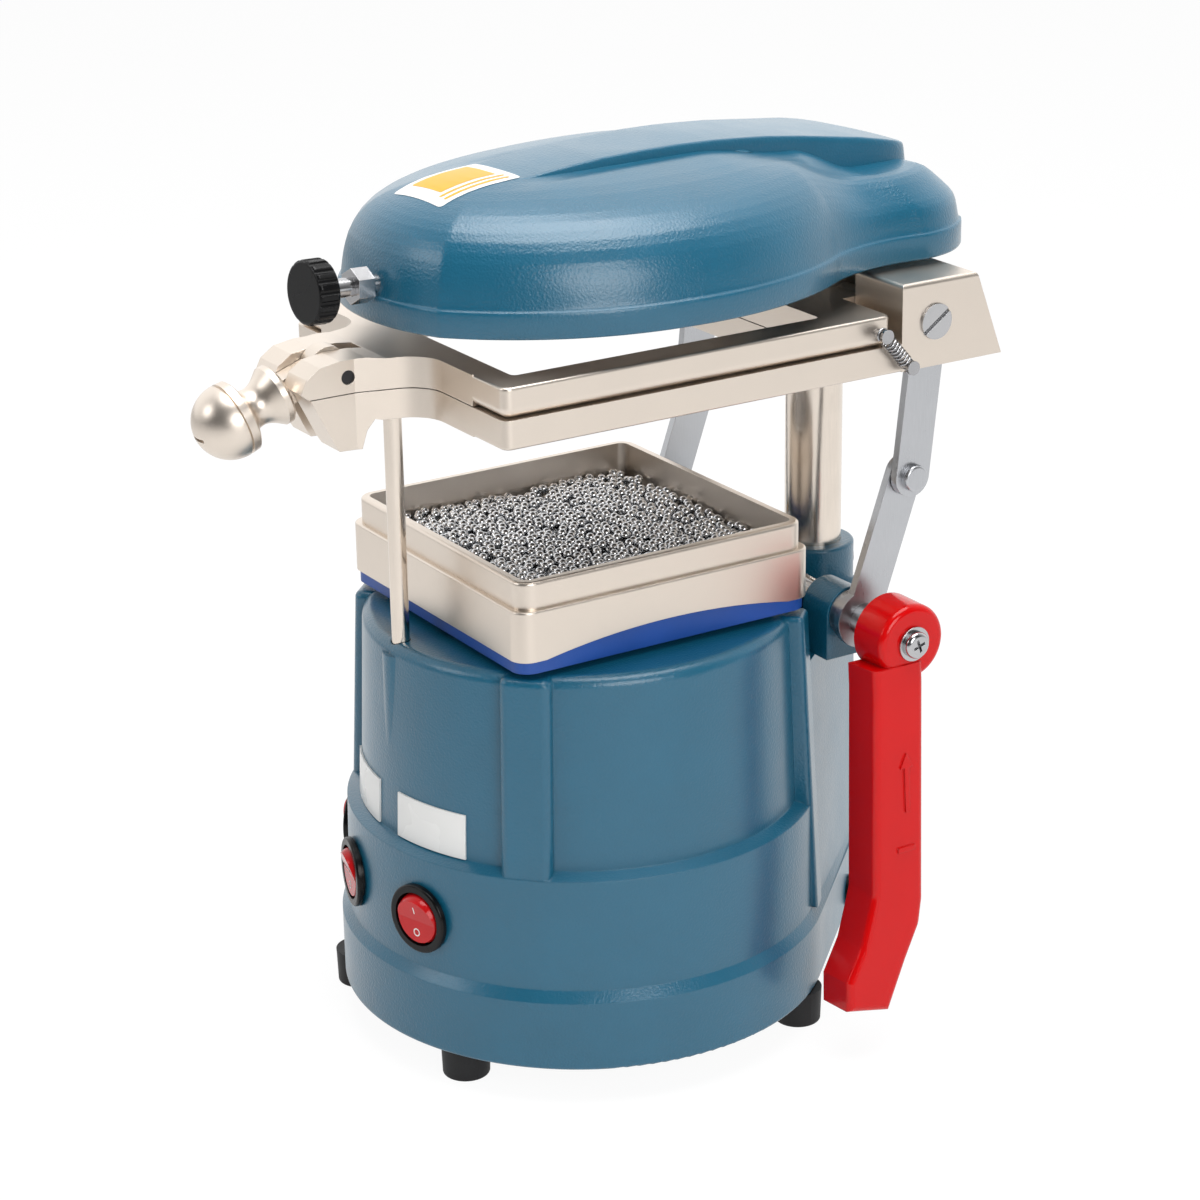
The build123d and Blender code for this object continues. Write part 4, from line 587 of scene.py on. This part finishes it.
def build_heater_sticker():
    """White sticker with plain amber shapes on the front of the spine."""
    points, faces = [], []
    for name in ("heater_dome", "heater_spine"):
        data = bpy.data.objects[name].data
        faces += [[len(points) + v for v in face.vertices] for face in data.polygons]
        points += [v.co for v in data.vertices]
    tree = BVHTree.FromPolygons(points, faces)
    patch_on(tree, "heater_sticker", (-14.0, 12.0, -65.0, -34.0), 1.4, 0.14 * mm, "Sticker white")
    shapes = ((-11.5, 4.5, -59.5, -38.5), (6.2, 7.4, -61.5, -37.0), (8.8, 10.0, -61.5, -37.0))
    for number, shape in enumerate(shapes):
        patch_on(tree, f"sticker_shape_{number}", shape, 0.5, 0.22 * mm, "Sticker amber")


# ---------------------------------------------------------------- marks on the rockers

def build_switch_marks():
    """A line for on and a ring for off, printed on each rocker."""
    tilt = math.radians(8.0)
    base_radius, switch_height, rocker_depth = 81.6, 58.5, 1.5
    ridge, line_half, line_low, line_high = 3.74, 0.22, 2.9, 5.5
    ring_y, ring_radii, count = -4.2, (1.0, 1.42), 28
    for turn, name in ((17.0, "heat"), (-14.0, "vacuum"), (-45.0, "power")):
        c, s = math.cos(math.radians(turn)), math.sin(math.radians(turn))
        place = Matrix(((c, 0, s, base_radius * s), (s, 0, -c, -base_radius * c), (0, 1, 0, switch_height),
                        (0, 0, 0, 1)))
        place = place @ Matrix.Translation((0, 0, -rocker_depth)) @ Matrix.Rotation(tilt, 4, "X")
        flat = [(-line_half, line_low), (line_half, line_low), (line_half, line_high), (-line_half, line_high)]
        for radius in ring_radii:
            angles = [math.tau * i / count for i in range(count)]
            flat += [(radius * math.cos(a), ring_y + radius * math.sin(a)) for a in angles]
        points = [(place @ Vector((x, y, ridge + abs(y) * math.tan(tilt)))) * mm for x, y in flat]
        faces = [(0, 1, 2, 3)]
        for i in range(count):
            j = (i + 1) % count
            faces.append((4 + i, 4 + count + i, 4 + count + j, 4 + j))
        mesh_piece(f"switch_marks_{name}", points, faces, f"{name}_switch", "Mark white", False)


# ---------------------------------------------------------------- finishes on the frame's nodes

node_finishes = {
    "Blue enamel": "base_housing rear_bracket",
    "Warm nickel": "lower_frame upper_frame handle_tongue ball_handle vacuum_box ball_tray",
    "Drawn nickel": "post guide_rod",
    "Ground steel": "crank_right crank_left link_right link_left shaft_collars link_pins",
    "Bright steel": "lever_screw lever_washer link_screws knob_stud knob_nut cross_shaft post_set_screws "
                    "frame_hinge_pins",
    "Spring wire": "frame_springs lower_spring_pegs upper_spring_pegs",
    "Red enamel": "lever_arm",
    "Black plastic": "heat_knob switch_bezels cable_gland",
    "Black rubber": "rubber_feet turbine_seal heater_lead",
    "Gasket rubber": "box_gasket",
    "Red rocker": "rocker_heat rocker_vacuum rocker_power",
    "White plate": "label_plates",
    "Oiled bronze": "shaft_bushes guide_bush post_bush motor_bearings",
    "Dark steel": "handle_pivot_pin bracket_bolts base_plate_screws feet_screws hub_screws base_plate heater_hub",
    "Bright sheet": "heater_reflector heater_studs suction_screen turbine_rotor",
    "Ceramic wool": "heater_insulation",
    "Element sheath": "heating_element",
    "Motor black": "vacuum_motor turbine_housing",
}


def make_finishes():
    """Shared groups first, then each finish with its own values."""
    colours = bpy.context.scene.former_colours
    sizes = bpy.context.scene.former_sizes
    groups["peel"] = make_peel_group()
    groups["grain"] = make_grain_group()
    groups["edges"] = make_edge_group()
    groups["dust"] = make_dust_group()
    nickel = tuple(colours.warm_nickel)
    blue = tuple(colours.blue_enamel)
    edge = sizes.edge_radius
    # Most edge colours below are lighter copies of their finish: rubbed finish and painted edge highlight
    # together.
    finish("Blue enamel", blue, 0.31, size=sizes.peel_size, bump=0.45, tint=0.04, spread=0.03, edge=edge * 1.6,
           rubbed_and_lit_edge_colour=[c * 1.5 for c in blue], rubbed_and_lit_edge_share=0.3, Coat_Weight=0.5, Coat_Roughness=0.24)
    finish("Warm nickel", nickel, 0.36, metal=1.0, grain="drawn", size=0.25 * mm, bump=0.04, tint=0.02,
           spread=0.025, edge=edge * 0.4, rubbed_and_lit_edge_colour=(0.93, 0.91, 0.88), rubbed_and_lit_edge_share=0.4)
    finish("Drawn nickel", nickel, 0.22, metal=1.0, grain="drawn", size=0.3 * mm, stretch=(1, 1, 0.03),
           bump=0.05, spread=0.05, edge=0.2 * mm, rubbed_and_lit_edge_colour=(0.9, 0.88, 0.85), rubbed_and_lit_edge_share=0.3)
    finish("Ground steel", (0.52, 0.53, 0.55), 0.33, metal=1.0, grain="drawn", size=0.3 * mm,
           stretch=(1, 1, 0.06), bump=0.08, spread=0.07, edge=0.3 * mm, rubbed_and_lit_edge_colour=(0.85, 0.85, 0.85), rubbed_and_lit_edge_share=0.5)
    finish("Bright steel", (0.50, 0.50, 0.51), 0.18, metal=1.0, grain="drawn", size=0.3 * mm, bump=0.03,
           edge=0.25 * mm, rubbed_and_lit_edge_colour=(0.9, 0.9, 0.9), rubbed_and_lit_edge_share=0.3)
    finish("Polished balls", (0.70, 0.71, 0.73), 0.10, metal=1.0, grain="drawn", size=0.5 * mm, bump=0.01,
           tint=0.15, spread=0.04, edge=0.02 * mm)
    finish("Spring wire", (0.42, 0.42, 0.43), 0.20, metal=1.0, grain="drawn", size=0.2 * mm, bump=0.03,
           edge=0.1 * mm)
    finish("Red enamel", tuple(colours.red_enamel), 0.16, size=2.5 * mm, bump=0.03, spread=0.03, edge=edge,
           rubbed_and_lit_edge_colour=(0.75, 0.1, 0.09), rubbed_and_lit_edge_share=0.2, Specular_IOR_Level=0.32)
    finish("Black plastic", (0.005, 0.005, 0.0055), 0.26, size=0.5 * mm, bump=0.05, tint=0.2, spread=0.05,
           edge=0.3 * mm, rubbed_and_lit_edge_colour=(0.04, 0.04, 0.04), rubbed_and_lit_edge_share=0.4, Specular_IOR_Level=0.22)
    finish("Black rubber", (0.014, 0.014, 0.015), 0.55, size=0.6 * mm, bump=0.12, tint=0.2, spread=0.1,
           edge=0.3 * mm, rubbed_and_lit_edge_colour=(0.08, 0.08, 0.08), rubbed_and_lit_edge_share=0.4, dust=0.03, Specular_IOR_Level=0.35)
    finish("Gasket rubber", tuple(colours.gasket_blue), 0.42, size=0.9 * mm, bump=0.08, tint=0.1, spread=0.06,
           edge=0.4 * mm, rubbed_and_lit_edge_colour=(0.1, 0.18, 0.5), rubbed_and_lit_edge_share=0.3)
    finish("Red rocker", tuple(colours.rocker_red), 0.12, size=1.5 * mm, bump=0.02, tint=0.12, spread=0.03,
           edge=0.3 * mm, rubbed_and_lit_edge_colour=(0.9, 0.2, 0.18), rubbed_and_lit_edge_share=0.3, Specular_IOR_Level=0.3)
    white = tuple(colours.plate_white)
    finish("Sticker white", white, 0.30, size=0.6 * mm, bump=0.02, tint=0.02, spread=0.04, edge=0.1 * mm)
    finish("Sticker amber", screen(232, 168, 30), 0.34, size=0.6 * mm, bump=0.02, tint=0.05, spread=0.04,
           edge=0.1 * mm)
    finish("Mark white", white, 0.4, size=0.3 * mm, bump=0.02, tint=0.04, spread=0.04, edge=0.05 * mm)
    finish("White plate", white, 0.28, size=0.8 * mm, bump=0.03, tint=0.02, spread=0.04,
           edge=0.15 * mm, rubbed_and_lit_edge_colour=(0.6, 0.6, 0.58), rubbed_and_lit_edge_share=0.3)
    finish("Oiled bronze", (0.46, 0.30, 0.14), 0.35, metal=1.0, grain="drawn", size=0.3 * mm, bump=0.05,
           rubbed_and_lit_edge_colour=(0.7, 0.5, 0.3), rubbed_and_lit_edge_share=0.4)
    finish("Dark steel", (0.05, 0.05, 0.052), 0.42, metal=1.0, grain="drawn", size=0.4 * mm, bump=0.08,
           rubbed_and_lit_edge_colour=(0.5, 0.5, 0.5), rubbed_and_lit_edge_share=0.5)
    finish("Bright sheet", (0.74, 0.74, 0.72), 0.25, metal=1.0, grain="drawn", size=0.4 * mm,
           stretch=(0.06, 1, 1), bump=0.05, rubbed_and_lit_edge_colour=(0.85, 0.85, 0.85), rubbed_and_lit_edge_share=0.2)
    finish("Ceramic wool", (0.72, 0.70, 0.64), 0.95, grain="drawn", size=0.8 * mm, stretch=(0.3, 0.3, 1),
           bump=0.8, tint=0.12, spread=0.04)
    finish("Element sheath", (0.20, 0.15, 0.12), 0.55, metal=0.7, size=0.7 * mm, bump=0.2, tint=0.35,
           spread=0.12)
    finish("Motor black", (0.02, 0.02, 0.022), 0.45, size=0.8 * mm, bump=0.1, tint=0.2, rubbed_and_lit_edge_colour=(0.2, 0.2, 0.2),
           rubbed_and_lit_edge_share=0.4)


def dress_nodes():
    """Give each node of the frame its finish in place of the plain one."""
    for finish_name, names in node_finishes.items():
        for name in names.split():
            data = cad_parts[name].data
            data.materials.clear()
            data.materials.append(bpy.data.materials[finish_name])


# ---------------------------------------------------------------- stage

def build_floor(settings):
    """Pale floor, bright to the camera and in mirrored rays but for its front, which stays dim in them."""
    half = 9.0
    data = bpy.data.meshes.new("floor")
    data.from_pydata([(-half, -half, 0), (half, -half, 0), (half, half, 0), (-half, half, 0)], [], [(0, 1, 2, 3)])
    floor = bpy.data.objects.new("floor", data)
    bpy.context.scene.collection.objects.link(floor)
    made = bpy.data.materials.new("Studio floor")
    made.use_nodes = True
    tree = made.node_tree
    shader = tree.nodes["Principled BSDF"]
    shader.inputs["Roughness"].default_value = 0.8
    shader.inputs["Specular IOR Level"].default_value = 0.0
    place = add(tree, "ShaderNodeTexCoord").outputs["Object"]
    cloud = add(tree, "ShaderNodeTexNoise", {"Vector": place, "Scale": 1.5}).outputs["Fac"]
    colour = tuple(settings.floor_colour)
    tree.links.new(blended(tree, cloud, [c * 0.99 for c in colour], colour), shader.inputs["Base Color"])
    glow = add(tree, "ShaderNodeEmission", {"Color": (1, 1, 1, 1), "Strength": 1.06})
    path = add(tree, "ShaderNodeLightPath").outputs
    dim = ranged(tree, add(tree, "ShaderNodeSeparateXYZ", {0: place}).outputs["Y"], -0.6, 0.35, 0.18, 1.0)
    mirrored = maths(tree, "MULTIPLY", path["Is Glossy Ray"], dim)
    direct = maths(tree, "MAXIMUM", path["Is Camera Ray"], path["Is Transmission Ray"])
    share = maths(tree, "MULTIPLY", maths(tree, "MAXIMUM", direct, mirrored), 0.88)
    mix = add(tree, "ShaderNodeMixShader", {0: share, 1: shader.outputs[0], 2: glow.outputs[0]})
    tree.links.new(mix.outputs[0], tree.nodes["Material Output"].inputs["Surface"])
    data.materials.append(made)


def build_sky(settings):
    """Even light all round, white to the camera, and mirrored brighter at the back than at the front."""
    world = bpy.data.worlds.new("Studio sky")
    bpy.context.scene.world = world
    world.use_nodes = True
    tree = world.node_tree
    base = tree.nodes["Background"]
    path = add(tree, "ShaderNodeLightPath").outputs
    seen = maths(tree, "MAXIMUM", path["Is Camera Ray"], path["Is Transmission Ray"])
    way = add(tree, "ShaderNodeTexCoord").outputs["Generated"]
    backward = add(tree, "ShaderNodeVectorMath", {0: way, 1: (-0.85, 0.53, 0.0)}, operation="DOT_PRODUCT")
    mirrored = ranged(tree, backward.outputs["Value"], -0.4, 0.5, settings.front_level, settings.back_level)
    even = ranged(tree, path["Is Glossy Ray"], 0.0, 1.0, settings.sky_level, 0.0)
    direct = maths(tree, "ADD", even, maths(tree, "MULTIPLY", path["Is Glossy Ray"], mirrored))
    base.inputs["Color"].default_value = (1, 1, 1, 1)
    tree.links.new(maths(tree, "MAXIMUM", seen, direct), base.inputs["Strength"])


def build_lamps(settings):
    """Three soft round lamps aimed at the middle of the machine."""
    middle = Vector((0, 0, 0.15))
    for name, place, size, power in (
            ("key_lamp", (0.1, 0.1, 1.5), 1.2, settings.key_power),
            ("side_lamp", (1.45, -0.15, 0.7), 0.9, settings.side_power),
            ("front_lamp", (-0.35, -1.35, 0.95), 0.7, settings.fill_power)):
        light = bpy.data.lights.new(name, "AREA")
        light.shape = "DISK"
        light.size = size
        light.energy = power
        lamp = bpy.data.objects.new(name, light)
        lamp.location = place
        lamp.rotation_euler = (middle - Vector(place)).to_track_quat("-Z", "Y").to_euler()
        bpy.context.scene.collection.objects.link(lamp)


def build_camera():
    """Camera at the photographed angle."""
    focal_pixels, photo_width, sensor = 3135.92, 1200, 36.0
    turn, tilt, roll = math.radians(58.05), math.radians(20.48), math.radians(-0.86)
    target, distance = Vector((0.05, 8.62, 145.0)) * mm, 1070.5 * mm
    lens = bpy.data.cameras.new("photo_camera")
    lens.sensor_fit = "HORIZONTAL"
    lens.sensor_width = sensor
    lens.lens = focal_pixels / photo_width * sensor
    camera = bpy.data.objects.new("photo_camera", lens)
    back = Vector((math.sin(turn) * math.cos(tilt), -math.cos(turn) * math.cos(tilt), math.sin(tilt)))
    level = (-back).cross(Vector((0, 0, 1))).normalized()
    upright = level.cross(-back)
    right = math.cos(roll) * level + math.sin(roll) * upright
    up = -math.sin(roll) * level + math.cos(roll) * upright
    spot = target + back * distance
    camera.matrix_world = Matrix(((right.x, up.x, back.x, spot.x), (right.y, up.y, back.y, spot.y),
                                  (right.z, up.z, back.z, spot.z), (0, 0, 0, 1)))
    bpy.context.scene.collection.objects.link(camera)
    bpy.context.scene.camera = camera


def build_stage():
    settings = bpy.context.scene.former_stage
    bpy.context.scene.view_settings.view_transform = "Standard"
    build_floor(settings)
    build_sky(settings)
    build_lamps(settings)
    build_camera()


# ---------------------------------------------------------------- operators and panel

class FORMER_OT_stage(bpy.types.Operator):
    """Set up the floor, the soft light and the camera"""
    bl_idname = "former.stage"
    bl_label = "Stage"

    def execute(self, context):
        build_stage()
        return {"FINISHED"}


class FORMER_OT_finishes(bpy.types.Operator):
    """Make the finishes and give each measured node its own"""
    bl_idname = "former.finishes"
    bl_label = "Finishes"

    def execute(self, context):
        make_finishes()
        dress_nodes()
        return {"FINISHED"}


class FORMER_OT_heater_dome(bpy.types.Operator):
    """Build the enamelled heater dome with its raised spine"""
    bl_idname = "former.heater_dome"
    bl_label = "Heater dome"

    def execute(self, context):
        build_heater_dome()
        build_heater_spine()
        return {"FINISHED"}


class FORMER_OT_heater_sticker(bpy.types.Operator):
    """Lay the sticker on the front of the heater dome"""
    bl_idname = "former.heater_sticker"
    bl_label = "Heater sticker"

    def execute(self, context):
        build_heater_sticker()
        return {"FINISHED"}


class FORMER_OT_switch_marks(bpy.types.Operator):
    """Print the on and off marks on the rockers"""
    bl_idname = "former.switch_marks"
    bl_label = "Switch marks"

    def execute(self, context):
        build_switch_marks()
        return {"FINISHED"}


class FORMER_OT_steel_balls(bpy.types.Operator):
    """Fill the top of the tray with loose steel balls"""
    bl_idname = "former.steel_balls"
    bl_label = "Steel balls"

    def execute(self, context):
        build_steel_balls()
        return {"FINISHED"}


class FORMER_PT_panel(bpy.types.Panel):
    """Pieces and settings of the vacuum former"""
    bl_idname = "FORMER_PT_panel"
    bl_label = "Vacuum former"
    bl_space_type = "VIEW_3D"
    bl_region_type = "UI"
    bl_category = "Vacuum former"

    def draw(self, context):
        for settings in (context.scene.former_colours, context.scene.former_sizes, context.scene.former_stage):
            for name in settings.__annotations__:
                self.layout.prop(settings, name)
        for operator in operators:
            self.layout.operator(operator.bl_idname)


settings_groups = {"former_colours": FormerColours, "former_sizes": FormerSizes, "former_stage": FormerStage}
operators = [FORMER_OT_stage, FORMER_OT_finishes, FORMER_OT_heater_dome, FORMER_OT_heater_sticker,
             FORMER_OT_switch_marks, FORMER_OT_steel_balls]


def register():
    for group in settings_groups.values():
        bpy.utils.register_class(group)
    for name, group in settings_groups.items():
        setattr(bpy.types.Scene, name, PointerProperty(type=group))
    for made in operators + [FORMER_PT_panel]:
        bpy.utils.register_class(made)


def unregister():
    for made in reversed(operators + [FORMER_PT_panel]):
        bpy.utils.unregister_class(made)
    for name in settings_groups:
        delattr(bpy.types.Scene, name)
    for group in settings_groups.values():
        bpy.utils.unregister_class(group)


def main():
    register()
    bpy.ops.former.stage()
    bpy.ops.former.finishes()
    bpy.ops.former.heater_dome()
    bpy.ops.former.heater_sticker()
    bpy.ops.former.switch_marks()
    bpy.ops.former.steel_balls()


if __name__ == "__main__":
    main()
